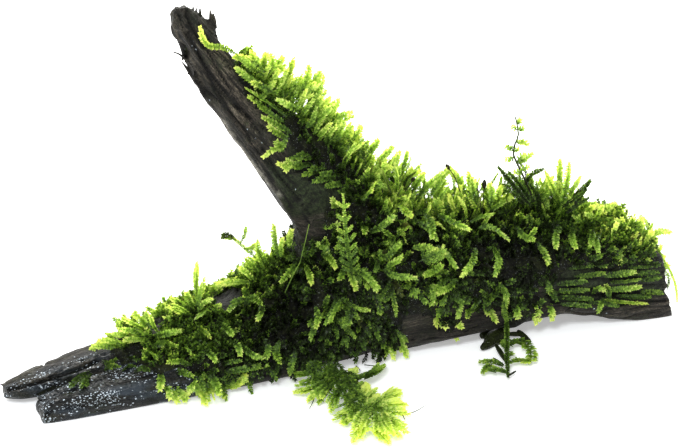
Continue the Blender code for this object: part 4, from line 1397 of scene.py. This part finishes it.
FRINGE = traced(
    (392, 330, 384, 342, 379, 356), (388, 330, 376, 338, 369, 340), (392, 334, 392, 346, 393, 358),
    (396, 330, 402, 343, 406, 356), (388, 334, 386, 344, 388, 352), (440, 306, 448, 322, 457, 339),
    (446, 304, 454, 320, 462, 328), (438, 308, 440, 320, 446, 328), (434, 306, 436, 316, 437, 326),
    (530, 298, 534, 312, 536, 323), (534, 298, 538, 310, 540, 320), (546, 300, 551, 310, 552, 320),
    (492, 298, 490, 310, 496, 322), (504, 302, 506, 318, 507, 332), (516, 304, 517, 312, 518, 318),
    (204, 372, 202, 388, 206, 405), (206, 376, 214, 388, 225, 397), (216, 380, 230, 386, 242, 383),
    (210, 376, 210, 388, 214, 400), (168, 384, 174, 394, 178, 401), (176, 384, 182, 394, 184, 401),
    (196, 378, 192, 386, 188, 394), (160, 370, 161, 380, 160, 390), (228, 376, 238, 380, 248, 380),
    (206, 374, 208, 388, 210, 402), (200, 376, 204, 390, 203, 402), (220, 378, 232, 382, 245, 378),
    (226, 372, 236, 375, 247, 374), (170, 384, 180, 392, 187, 398), (190, 376, 196, 386, 200, 396),
    (162, 382, 168, 390, 170, 398), (212, 376, 218, 386, 220, 394), (398, 332, 404, 340, 402, 350),
)
FERNS = (
    # The reach of a fern's lowest side shoots in millimetres, and its main shoot
    (3.6, ((353, 284), (350, 262), (346, 236), (343, 194))),
    (3.4, ((352, 268), (362, 276), (376, 286))),
    (3.0, ((418, 262), (430, 256), (446, 250))),
)
LEFT_TUFTS = traced(
    (122, 343, 110, 341, 98, 340), (120, 345, 112, 339, 106, 334), (114, 348, 103, 347, 92, 346),
    (134, 338, 122, 335, 109, 334), (142, 334, 131, 330, 119, 329), (150, 340, 138, 338, 124, 340),
    (152, 332, 138, 326, 122, 318), (150, 330, 142, 320, 134, 312), (154, 330, 149, 321, 146, 312),
    (156, 332, 140, 333, 126, 330), (192, 312, 182, 304, 171, 298), (190, 316, 180, 312, 169, 306),
    (188, 322, 177, 319, 164, 318), (199, 308, 196, 284, 197, 263), (199, 300, 202, 290, 204, 278),
    (198, 312, 204, 303, 212, 299), (202, 314, 211, 308, 220, 305), (250, 282, 234, 282, 216, 284),
    (254, 280, 246, 272, 240, 268), (258, 272, 250, 264, 244, 258), (264, 264, 259, 252, 257, 240),
    (268, 264, 262, 254, 254, 247), (277, 256, 274, 240, 273, 225), (290, 248, 290, 238, 292, 230),
    (282, 256, 281, 247, 283, 238), (194, 308, 189, 300, 186, 292),
)
LEFT_FRONT = traced(
    (152, 337, 164, 334, 180, 331), (150, 347, 164, 343, 178, 346), (192, 366, 180, 361, 167, 362),
    (196, 326, 204, 330, 211, 337), (216, 322, 226, 328, 233, 335), (180, 344, 187, 347, 192, 354),
    (232, 340, 238, 346, 240, 355), (242, 346, 252, 354, 263, 358), (226, 372, 245, 369, 267, 365),
    (244, 306, 252, 298, 262, 304), (262, 304, 262, 312, 258, 320), (244, 298, 236, 302, 229, 311),
    (216, 300, 206, 308, 196, 318), (176, 322, 168, 328, 160, 336), (202, 350, 210, 354, 216, 362),
    (264, 338, 268, 348, 266, 358), (280, 340, 276, 352, 280, 364), (296, 350, 292, 362, 290, 374),
    (140, 350, 150, 352, 158, 358), (172, 372, 182, 372, 192, 376),
)
OLD_GROWTH = traced(
    (88, 372, 80, 378, 72, 388), (90, 371, 84, 377, 79, 383), (80, 376, 74, 382, 70, 387),
    (92, 374, 86, 380, 81, 388), (84, 374, 86, 380, 88, 386), (104, 370, 112, 366, 119, 367),
    (122, 371, 128, 366, 136, 366), (102, 360, 108, 363, 116, 359), (126, 362, 132, 358, 139, 360),
    (134, 372, 142, 368, 150, 370),
)
SHOOTS_IN_PLANE = (
    # The shoots, their depth in the photo and its spread in millimetres, their youth and painted light,
    # and their leaves' size
    (BRANCH_EDGE, 1.0, 1.5, (0.46, 0.98), 1.05),
    (CREST, -1.0, 2.0, (0.46, 0.98), 1.0),
    (CREST_OLD, -5.0, 1.5, (0.22, 0.46), 0.8),
    (RIGHT_TOP, -6.0, 1.5, (0.56, 1.04), 1.1),
    (LEFT_TUFTS, -1.0, 1.5, (0.48, 0.96), 0.85),
)
SHOOTS_ON_SURFACE = (
    # The shoots, what they lie on, how far root and tip stand off it, their youth and painted light,
    # and their leaves' size
    (BRANCH_FRONT, "moss", (0.9, 1.8), (0.42, 0.96), 0.95),
    (BRANCH_LOW, "wood", (0.2, 1.2), (0.26, 0.60), 0.9),
    (OLD_GROWTH, "wood", (0.2, 1.2), (0.26, 0.48), 0.8),
    (RIGHT_FRONT, "wood", (0.8, 1.4), (0.42, 0.84), 0.95),
    (GRAIN_COMBS, "wood", (0.6, 0.8), (0.30, 0.52), 0.8),
    (FRONT, "moss", (-1.2, 1.6), (0.38, 0.84), 1.0),
    (FRINGE, "moss", (-1.2, 1.6), (0.46, 1.0), 1.1),
    (LEFT_FRONT, "moss", (-1.2, 1.6), (0.30, 0.78), 1.0),
)
# A second copy of each shoot in a plane is smaller, and drifts off and drops by so many pixels
COPY_DRIFT = 1.5
COPY_DROP = 2.0
COPY_SHRINK = 0.12


def grow_traced(stores, moss, wood):
    """The shoots that stand out in the photo, placed one by one."""
    rng = np.random.default_rng(42)

    def grow(places, youth_and_light, leaf):
        if len(places) > 1:
            face = unit(-LOOK + rng.normal(0.0, 0.35, 3))
            add_shoot(stores[piece_of(places[0])], places, face, rng, youth_and_light, leaf=leaf, rings=6)

    for shoots, depth, spread, youth_and_light, leaf in SHOOTS_IN_PLANE:
        for marks in shoots:
            for copy in range(2):
                lean = rng.normal(0.0, spread, 2)
                depths = np.linspace(depth + lean[0], depth + lean[0] + lean[1], len(marks))
                right, down = rng.normal(0.0, COPY_DRIFT * copy, 2)
                moved = [(u + right, v + COPY_DROP * copy + down) for u, v in marks]
                grow(at_depth(moved, depths), youth_and_light, leaf * (1.0 - COPY_SHRINK * copy))
    for shoots, surface, lifts, youth_and_light, leaf in SHOOTS_ON_SURFACE:
        for marks in shoots:
            grow(on_surface(wood if surface == "wood" else moss, marks, *lifts), youth_and_light, leaf)


def grow_ferns(stores, moss):
    """The few shoots in front that branch like a fern."""
    rng = np.random.default_rng(48)
    for reach, marks in FERNS:
        root = on_surface(moss, marks[:1], 0.5, 0.5)[0]
        path = at_depth(marks, root[1] + np.linspace(0.0, 2.0, len(marks)))
        add_fern(stores[piece_of(root)], path, -LOOK, rng, reach, (0.32, 0.74), 2 * len(marks), leaf=0.66)


BACK_SHOOTS = 130
BACK_ALONG = (-24.0, 60.0)
BACK_HEIGHTS = (8.0, 17.0)
BACK_START = 60.0
BACK_NEAREST = 12.0
BACK_LENGTHS = (4.0, 6.5)


def grow_back(stores, mats):
    """Shoots at the back that reach as far as the solids of the mats."""
    rng = np.random.default_rng(47)
    for _ in range(BACK_SHOOTS):
        start = Vector((rng.uniform(*BACK_ALONG), BACK_START, rng.uniform(*BACK_HEIGHTS)))
        hit = mats.ray_cast(start, Vector(-AXIS_Y), BACK_START)[0]
        if hit is None or hit[1] < BACK_NEAREST:
            continue
        tip = np.array(hit) - AXIS_Y * rng.uniform(0.0, 2.0)
        way = unit(AXIS_Y + rng.normal(0.0, 0.35, 3))
        root = tip - way * rng.uniform(*BACK_LENGTHS)
        path = bent(root, way, rng.uniform(*BACK_LENGTHS), rng.normal(0.0, 0.4, 3))
        bright = rng.uniform(0.30, 0.55)
        youth_and_light = (bright - 0.1, bright + 0.3)
        add_shoot(stores[piece_of(path[0])], path, AXIS_Z, rng, youth_and_light, leaf=0.85, rings=4)


CREST_TOP = (
    # The outline of the moss on the crest, as places along the log and heights
    (0.0, 56.0), (2.8, 55.0), (5.4, 53.5), (12.3, 46.5), (17.2, 43.0), (24.0, 39.7), (31.0, 38.0),
    (35.0, 36.5), (40.0, 39.5), (46.5, 39.5), (50.0, 37.0), (53.6, 37.5), (56.2, 35.0), (59.1, 31.5),
    (61.8, 27.5), (68.7, 23.5), (74.4, 22.5), (80.0, 20.0),
)
BRANCH_TOP = (
    # The outline of the moss on the branch, as places along it and heights off its axis
    (11.0, 24.5), (18.0, 22.5), (25.0, 21.3), (32.0, 22.0), (38.0, 22.5), (43.0, 21.5), (48.5, 18.7),
    (52.0, 16.4), (57.0, 13.2),
)
CREST_SHOOTS = 290
CREST_FROM_TO = (1.0, 79.0)
CREST_LENGTHS = (4.5, 8.5)
# The dark growth round the tall stem starts and ends between these places along the log
STEM_GROWTH = ((36.0, 40.0), (50.0, 46.0))
BRANCH_SHOOTS = 190
BRANCH_FROM_TO = (12.0, 56.0)
BRANCH_LENGTHS = (3.8, 6.8)


def grow_crest_fringe(stores, rng):
    """Loose upright shoots along the log's crest, fewer and darker round the tall stem."""
    for _ in range(CREST_SHOOTS):
        x = rng.uniform(*CREST_FROM_TO)
        by_stem = float(smooth(*STEM_GROWTH[0], x) * smooth(*STEM_GROWTH[1], x))
        if rng.uniform() < 0.35 * by_stem:
            continue
        back = rng.normal(0.0, 4.5)
        top = on_line(x, CREST_TOP) - 0.06 * back * back
        tip = np.array((x, back, top - rng.uniform(1.2, 8.0)))
        way = unit(np.array((rng.normal(0.12, 0.42), rng.normal(0.05 * back, 0.22), 1.0)))
        length = rng.uniform(*CREST_LENGTHS)
        path = bent(tip - way * length, way, length, rng.normal(0.0, 0.5, 3))
        yaw = rng.normal(0.0, 0.6)
        face = unit(np.array((math.sin(yaw), -math.cos(yaw), rng.normal(0.0, 0.2))))
        bright = rng.uniform(0.36, 0.68) - 0.17 * by_stem + 0.10 * float(smooth(58.0, 66.0, x))
        store = stores[piece_of(path[0])]
        if rng.uniform() < FERN_SHARE:
            add_fern(store, path, face, rng, 2.4, (bright - 0.1, bright + 0.3), 3, leaf=0.66)
            continue
        leaf, dry = (0.45, 0.6) if rng.uniform() < 0.14 else (rng.uniform(0.55, 0.85), 0.0)
        add_shoot(store, path, face, rng, (bright - 0.15, bright + 0.35), dry, leaf=leaf, rings=4)


def grow_branch_fringe(stores, rng):
    """Loose shoots along the branch's upper edge, fewer near its foot."""
    for _ in range(BRANCH_SHOOTS):
        along = rng.uniform(*BRANCH_FROM_TO)
        if rng.uniform() < 0.45 * smooth(34.0, 26.0, along):
            continue
        back = rng.normal(1.0, 2.4)
        top = on_line(along, BRANCH_TOP) - rng.uniform(0.6, 5.0) - 0.10 * back * back
        tip = BRANCH_BASE + BRANCH_AXIS * along + BRANCH_SIDE * top + AXIS_Y * back
        rise = AXIS_Z * rng.uniform(0.0, 0.9)
        way = unit(BRANCH_SIDE * 0.9 + rise + AXIS_Y * 0.12 * back + rng.normal(0.0, 0.2, 3))
        length = rng.uniform(*BRANCH_LENGTHS)
        face = unit(np.array((rng.normal(0.0, 0.4), -1.0, rng.normal(0.0, 0.3))))
        bright = rng.uniform(0.44, 0.72)
        path = bent(tip - way * length, way, length, rng.normal(0.0, 0.3, 3))
        if over_bare_wood(path):
            continue
        youth_and_light, leaf = (bright - 0.1, bright + 0.36), rng.uniform(0.7, 0.9)
        add_shoot(stores["moss_branch"], path, face, rng, youth_and_light, leaf=leaf, rings=4)


# Single things that stand out, as points of the picture

CURLED_SHOOT = ((238, 56), (226, 48), (210, 46), (203, 39), (200, 27))
TALL_STEM = (
    (534, 202), (526, 183), (520, 170), (516, 162), (513, 153), (515, 143), (518, 136), (517, 125),
    (515, 117),
)
TALL_LEAVES = traced(
    (517, 130, 514, 128, 512, 126), (517, 130, 520, 129, 523, 128), (517, 124, 519, 122, 520, 119),
    (516, 142, 522, 142, 528, 144), (514, 150, 510, 148, 506, 147), (514, 152, 516, 150, 518, 149),
    (514, 158, 510, 159, 506, 160), (516, 162, 521, 160, 526, 160), (518, 164, 525, 158, 532, 154),
    (517, 161, 521, 156, 524, 155), (521, 172, 524, 168, 528, 167), (522, 174, 518, 172, 514, 172),
)
STALKS = (
    # A stalk from its root to its capsule, and the capsule's length and width in millimetres
    (((482, 216), (483, 202), (484, 188)), 2.3, 1.15), (((481, 210), (480, 200), (477, 193)), 1.6, 1.3),
    (((460, 192), (455, 178), (449, 169)), 1.7, 1.0), (((402, 194), (408, 187), (412, 181)), 1.2, 1.0),
)
END_THREAD = ((652, 240), (658, 250), (664, 261), (671, 273), (676, 288), (677, 304))
THREADS = traced(
    (246, 54, 246, 47, 251, 44), (300, 262, 305, 242, 309, 224), (285, 292, 292, 277, 300, 262),
)
DRY_TWIGS = traced(
    (236, 240, 229, 236, 221, 238), (234, 237, 227, 234, 222, 235), (536, 202, 545, 192, 552, 181),
    (564, 208, 574, 200, 584, 193), (568, 200, 578, 192, 590, 180), (218, 291, 214, 294, 211, 293),
    (548, 210, 541, 200, 528, 190), (540, 196, 548, 190, 556, 188),
)
PALE_TOP = traced(
    (309, 226, 304, 224, 301, 226), (309, 225, 316, 224, 325, 229), (309, 225, 309, 221, 311, 218),
    (240, 244, 245, 234, 246, 227), (244, 249, 250, 248, 256, 243), (232, 240, 228, 238, 222, 238),
    (408, 188, 411, 176, 421, 164), (546, 230, 551, 238, 556, 247),
    (256, 258, 247, 250, 238, 242, 230, 236), (252, 254, 252, 248, 256, 244),
)
CAPSULE_LOOKS = (0.1, 0.95, 0.9)
WILTED_LOOKS = (0.26, 0.5, 0.5)
TALL_RADIUS = 0.34
STALK_RADIUS = 0.16
THREAD_RADIUS = 0.13
# Their depth in the photo, in millimetres to the back
CURLED_DEPTH = -2.0
TALL_DEPTH = -4.0
LEAVES_DEPTH = -4.2
STALK_DEPTH = -3.0
END_DEPTH = -8.0
THREAD_DEPTH = -13.5
CREST_DEPTH = -1.0


def add_capsule(store, place, way, length, width, bluntness=0.8, looks=CAPSULE_LOOKS):
    """A small egg with blunt ends: a brown spore capsule, or with other looks a clot of old leaves."""
    rings, sides = 9, 8
    side, up = frames_along(way[None], AXIS_Y)
    t = np.linspace(0.0, 1.0, rings)
    radius = width / 2 * np.sin(np.pi * mix(0.05, 0.95, t)) ** bluntness
    skin, faces = tube(place + way * (t * length)[:, None], side, up, radius, sides)
    store.add(skin, faces, *looks)


def grow_single_things(stores):
    """The tall stem, the capsules on their stalks, and single shoots and threads that stand clear."""
    rng = np.random.default_rng(46)
    face = -LOOK

    def shoot(path, youth_and_light, leaf, rings, dry=0.0, store=None):
        add_shoot(store or stores[piece_of(path[0])], path, face, rng, youth_and_light, dry, leaf=leaf, rings=rings)

    crest = stores["moss_crest"]
    shoot(at_depth(CURLED_SHOOT, CURLED_DEPTH), (0.5, 0.94), 0.85, 9, store=stores["moss_branch"])
    tall = at_depth(TALL_STEM, TALL_DEPTH)
    add_stem(crest, tall, TALL_RADIUS, (0.16, 0.60), dry=0.5, rings=14, face=face, end=0.62)
    for marks in TALL_LEAVES:
        shoot(at_depth(marks, LEAVES_DEPTH), (0.50, 0.96), 0.92, 4, store=crest)
    for marks, length, width in STALKS:
        path = at_depth(marks, STALK_DEPTH)
        store = stores[piece_of(path[0])]
        way = unit(path[-1] - path[-2])
        add_stem(store, path, STALK_RADIUS, (0.30, 0.30), dry=0.75, tone=0.9, rings=6, face=face, end=0.8)
        add_capsule(store, path[-1] - way * 0.2, way, length, width)
    shoot(at_depth(END_THREAD, END_DEPTH), (0.55, 0.95), 0.5, 10, store=stores["moss_right"])
    for marks in THREADS:
        path = at_depth(marks, THREAD_DEPTH)
        store = stores[piece_of(path[0])]
        add_stem(store, path, THREAD_RADIUS, (0.55, 0.78), dry=0.3, rings=10, face=face, end=0.7)
    for marks in DRY_TWIGS:
        shoot(at_depth(marks, CREST_DEPTH), (0.35, 0.5), 0.6, 7, dry=0.55)
    for marks in PALE_TOP:
        shoot(at_depth(marks, CREST_DEPTH), (0.6, 0.9), 0.6, 5, dry=0.1)


# The moss that hangs in front and trails on the ground, as points of the picture

CLUMP_SPINES = traced(
    (338, 362, 334, 376, 342, 392, 358, 405, 372, 414, 386, 420), (346, 370, 350, 386, 362, 400, 374, 412),
    (316, 360, 314, 372, 318, 384, 330, 394),
)
CLUMP_LOBES = traced(
    (322, 370, 304, 376, 290, 376), (326, 378, 310, 384, 296, 386), (328, 382, 312, 390, 296, 393),
    (330, 386, 316, 394, 309, 400), (332, 388, 322, 396, 318, 402), (340, 392, 334, 402, 330, 412),
    (352, 404, 344, 414, 333, 420), (354, 408, 348, 418, 343, 424), (364, 414, 357, 428, 355, 443),
    (368, 416, 364, 428, 362, 438), (374, 418, 382, 432, 390, 444), (376, 420, 378, 432, 380, 440),
    (382, 420, 395, 426, 408, 433), (384, 420, 392, 430, 398, 437), (378, 412, 390, 406, 405, 405),
    (374, 412, 385, 401, 399, 390), (376, 410, 390, 400, 401, 394), (368, 408, 367, 397, 362, 389),
    (364, 404, 372, 398, 373, 392), (351, 388, 352, 378, 354, 371), (346, 394, 340, 386, 333, 380),
    (336, 384, 326, 390, 322, 398), (344, 398, 350, 408, 352, 418), (352, 402, 362, 396, 366, 386),
    (360, 410, 350, 420, 346, 424), (382, 416, 396, 414, 408, 414), (366, 412, 374, 404, 378, 398),
    (380, 416, 388, 422, 396, 430),
)
CLUMP_SHADED = traced(
    # Its darker shoots, nearer the log
    (320, 366, 308, 368, 298, 368), (330, 366, 334, 376, 340, 388), (324, 368, 326, 380, 332, 392),
    (352, 386, 362, 379, 372, 376), (364, 380, 376, 374, 384, 367), (342, 372, 344, 382, 350, 394),
    (350, 396, 358, 392, 362, 384), (316, 372, 318, 382, 324, 390), (356, 388, 360, 396, 370, 404),
)
CLUMP_THREADS = traced(
    (396, 414, 408, 414, 418, 410, 426, 405), (402, 413, 405, 420), (314, 399, 312, 404, 309, 409),
    (356, 366, 360, 370, 359, 373), (364, 365, 375, 366, 385, 367), (342, 384, 348, 390, 352, 398),
)
TRAIL_STEM = ((506, 314), (507, 334), (507, 356), (508, 377))
TRAIL_LOOP = ((507, 346), (516, 343), (525, 345), (531, 353), (531, 361), (524, 363))
TRAIL_SHOOTS = traced(
    (507, 373, 498, 371, 487, 366), (503, 366, 492, 363, 480, 363), (492, 366, 486, 369, 483, 374),
    (496, 372, 490, 371, 484, 371), (508, 364, 514, 362, 520, 361, 525, 362),
    (507, 350, 504, 346, 503, 341), (507, 356, 510, 356, 512, 354), (507, 333, 504, 328, 502, 324),
)
TRAIL_WILTED = (
    # A clot of withered leaves, as lumps from one point to another with their width in millimetres
    ((508, 327), (481, 336), 2.7), ((504, 334), (482, 348), 2.4), ((506, 332), (487, 343), 4.2),
    ((496, 345), (506, 361), 1.2), ((507, 334), (524, 334), 1.2), ((518, 331), (530, 342), 1.5),
    ((504, 365), (493, 358), 0.6), ((508, 376), (516, 371), 0.5),
)

# Where the clump's lobes lie in the picture: near the log and out on the ground, and left and right
LOBES_DOWN = (360.0, 410.0)
LOBES_RIGHT = (325.0, 365.0)
LOBE_LAYERS = (
    # How far each layer of a lobe sways sideways, and its share of the lobe's length
    (0.0, 1.0),
    (0.2, 0.9),
    (-1.0, 0.86),
    (1.0, 0.8),
)
LOBE_BEND = np.array((0.0, 0.6, 1.1))
LAYER_RISE = 0.5
CLUMP_THREAD_RADIUS = 0.17
STEM_HEIGHTS = (6.4, 0.9)
SIDE_HEIGHTS = (1.4, 0.8)
WILTED_HEIGHTS = (1.3, 1.0)


def on_ground(marks, heights):
    """Places that points of the picture show near the ground, from the first height to the last."""
    return [seen_on(2, z, u, v) for (u, v), z in zip(marks, np.linspace(*heights, len(marks)))]


def grow_lobe(store, marks, rng, shaded):
    """A lobe of the clump, as shoots in layers that fan out a little."""
    root_height = mix(4.0, 1.6, smooth(*LOBES_DOWN, marks[0][1]))
    tip_across = marks[-1][0]
    right = float(smooth(*LOBES_RIGHT, tip_across))
    layers = LOBE_LAYERS if tip_across >= LOBES_RIGHT[0] else LOBE_LAYERS[:3]
    for layer, (sway, share) in enumerate(layers):
        path = np.array(on_ground(marks, (root_height, 1.0)))
        aside = unit(np.cross(path[-1] - path[0], AXIS_Z)) * sway
        path = path + aside * LOBE_BEND[:, None] + rng.normal(0.0, 0.25, 3) * (1, 1, 0)
        path = mix(path[0], path, share) + AXIS_Z * LAYER_RISE * layer
        face = unit(AXIS_Z + rng.normal(0.0, 0.25, 3))
        # Lobes out to the right get painted light; those to the left, under the log's edge, are darker in
        # painted shade
        youth_and_light, leaf = (mix(0.38, 0.64, right), mix(0.92, 1.16, right)), mix(1.05, 1.3, right)
        if shaded:
            youth_and_light, leaf = (0.34, rng.uniform(0.60, 0.80)), 0.95
        add_shoot(store, path, face, rng, youth_and_light, leaf=leaf - 0.1 * layer, rings=6)


def grow_clump():
    """The bright clump that hangs off the front and spreads on the ground."""
    rng = np.random.default_rng(43)
    store = Store()
    for marks in CLUMP_SPINES:
        path = on_ground(marks, (6.0, 1.4))
        add_fern(store, path, AXIS_Z, rng, 2.6, (0.34, 0.58), len(marks) * 2, leaf=0.9, bare=0.0)
    for marks in CLUMP_LOBES:
        grow_lobe(store, marks, rng, shaded=False)
    for marks in CLUMP_SHADED:
        grow_lobe(store, marks, rng, shaded=True)
    for marks in CLUMP_THREADS:
        path = on_ground(marks, (1.2, 0.8))
        add_stem(store, path, CLUMP_THREAD_RADIUS, (0.3, 0.45), dry=0.5, rings=8, face=AXIS_Z)
    return store


def grow_trail():
    """The lone olive frond that lies in front of the log."""
    rng = np.random.default_rng(44)
    store = Store()
    path = on_ground(TRAIL_STEM, STEM_HEIGHTS)
    for leaf in (0.8, 0.65):
        add_shoot(store, path, AXIS_Z, rng, (0.50, 0.44), 0.1, leaf=leaf, rings=9)
    for marks in (TRAIL_LOOP,) + TRAIL_SHOOTS:
        for layer in range(2):
            path = np.array(on_ground(marks, SIDE_HEIGHTS)) + AXIS_Z * 0.4 * layer
            leaf = (1.75 if marks == TRAIL_LOOP else 1.1) - 0.2 * layer
            add_shoot(store, path, AXIS_Z, rng, (0.44, 0.82), 0.12, leaf=leaf, rings=6)
    for first, last, width in TRAIL_WILTED:
        start, end = on_ground((first, last), WILTED_HEIGHTS)
        length = np.linalg.norm(end - start)
        add_capsule(store, start, unit(end - start), length, width, bluntness=0.35, looks=WILTED_LOOKS)
    return store


# The stage

FLOOR_SIZE = 3000.0


def make_camera():
    camera = bpy.data.objects.new("camera", bpy.data.cameras.new("camera"))
    bpy.context.scene.collection.objects.link(camera)
    camera.location = (EYE - FOOTPRINT_CENTRE) * MM
    camera.rotation_euler = Vector(LOOK).to_track_quat("-Z", "Y").to_euler()
    camera.data.sensor_width = SENSOR_WIDTH
    camera.data.lens = LENS
    camera.data.clip_start = 0.01
    bpy.context.scene.camera = camera


def make_floor():
    half = FLOOR_SIZE / 2
    points = np.array([(-half, -half, 0.0), (half, -half, 0.0), (half, half, 0.0), (-half, half, 0.0)])
    floor = make_object("floor", points, np.array([(0, 1, 2), (0, 2, 3)]))
    n = Nodes("pale_floor")
    place = n.add("ShaderNodeTexCoord").outputs["Object"]
    colour = n.ramp(n.noise(place, 40.0), [(0.3, (0.93, 0.93, 0.93)), (0.7, (0.95, 0.95, 0.95))])
    shader = n.add("ShaderNodeBsdfPrincipled", {
        "Base Color": colour,
        "Roughness": 0.9,
        "Emission Color": (1.0, 1.0, 1.0, 1.0),
        "Emission Strength": 0.35,
    })
    floor.data.materials.append(n.finish(shader.outputs["BSDF"]))


def add_area(name, place, target, size, power, colour):
    lamp = bpy.data.lights.new(name, "AREA")
    lamp.shape = "DISK"
    lamp.size = size * MM
    lamp.energy = power
    lamp.color = colour
    made = bpy.data.objects.new(name, lamp)
    bpy.context.scene.collection.objects.link(made)
    made.location = (np.array(place) - FOOTPRINT_CENTRE) * MM
    way = Vector(np.array(target, float) - np.array(place, float))
    made.rotation_euler = way.to_track_quat("-Z", "Y").to_euler()


def make_lights():
    world = bpy.data.worlds.new("studio")
    world.use_nodes = True
    background = world.node_tree.nodes["Background"]
    background.inputs["Color"].default_value = (1.0, 1.0, 1.0, 1.0)
    background.inputs["Strength"].default_value = 0.65
    bpy.context.scene.world = world
    add_area("key", (-260.0, -420.0, 520.0), (0, 0, 20), size=200.0, power=3.2, colour=(0.93, 0.97, 1.0))
    add_area("rim", (120.0, 420.0, 460.0), (0, 0, 30), size=420.0, power=7.5, colour=(1.0, 0.99, 0.95))
    bpy.context.scene.view_settings.view_transform = "Standard"


# The pieces

def place_wood():
    wood = make_driftwood()
    wood.data.materials.append(wood_material())
    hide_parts(*WOOD_NODES)
    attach(wood, "root")


def place_bed(ground):
    points, triangles, normals, depth, _ = ground
    bed = make_bed(points, triangles, normals, depth)
    bed.data.materials.append(bed_material())
    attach(bed, "root")


def grow_moss(ground, mat_solids, wood_solids):
    """All shoots, as a store for each piece."""
    mats = tree_of(*joined(mat_solids))
    cover = tree_of(*joined(mat_solids + wood_solids))
    wood = tree_of(*joined(wood_solids))
    names = ("moss_left", "moss_middle", "moss_crest", "moss_right", "moss_branch")
    stores = {name: Store() for name in names}
    grow_undergrowth(stores, ground)
    grow_mats(stores, ground)
    grow_traced(stores, cover, wood)
    grow_ferns(stores, cover)
    fringe_rng = np.random.default_rng(45)
    grow_crest_fringe(stores, fringe_rng)
    grow_branch_fringe(stores, fringe_rng)
    grow_back(stores, mats)
    grow_single_things(stores)
    stores["moss_clump"] = grow_clump()
    stores["moss_trail"] = grow_trail()
    return stores


def place_moss(stores):
    moss = moss_material()
    stands_for = {
        "moss_left": "left_moss_mat",
        "moss_middle": "right_moss_mat",
        "moss_crest": "right_moss_mat",
        "moss_right": "right_moss_mat",
        "moss_branch": "branch_moss",
        "moss_clump": "hanging_clump",
        "moss_trail": "trailing_frond",
    }
    for name, store in stores.items():
        piece = store.make(name)
        piece.data.materials.append(moss)
        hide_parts(stands_for[name])
        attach(piece, "root")


def main():
    make_camera()
    make_floor()
    make_lights()
    place_wood()
    mat_solids = [read_node(name) for name in MAT_NODES]
    wood_solids = [read_node(name) for name in WOOD_NODES]
    ground = moss_ground(tree_of(*joined(mat_solids)))
    place_bed(ground)
    place_moss(grow_moss(ground, mat_solids, wood_solids))


main()
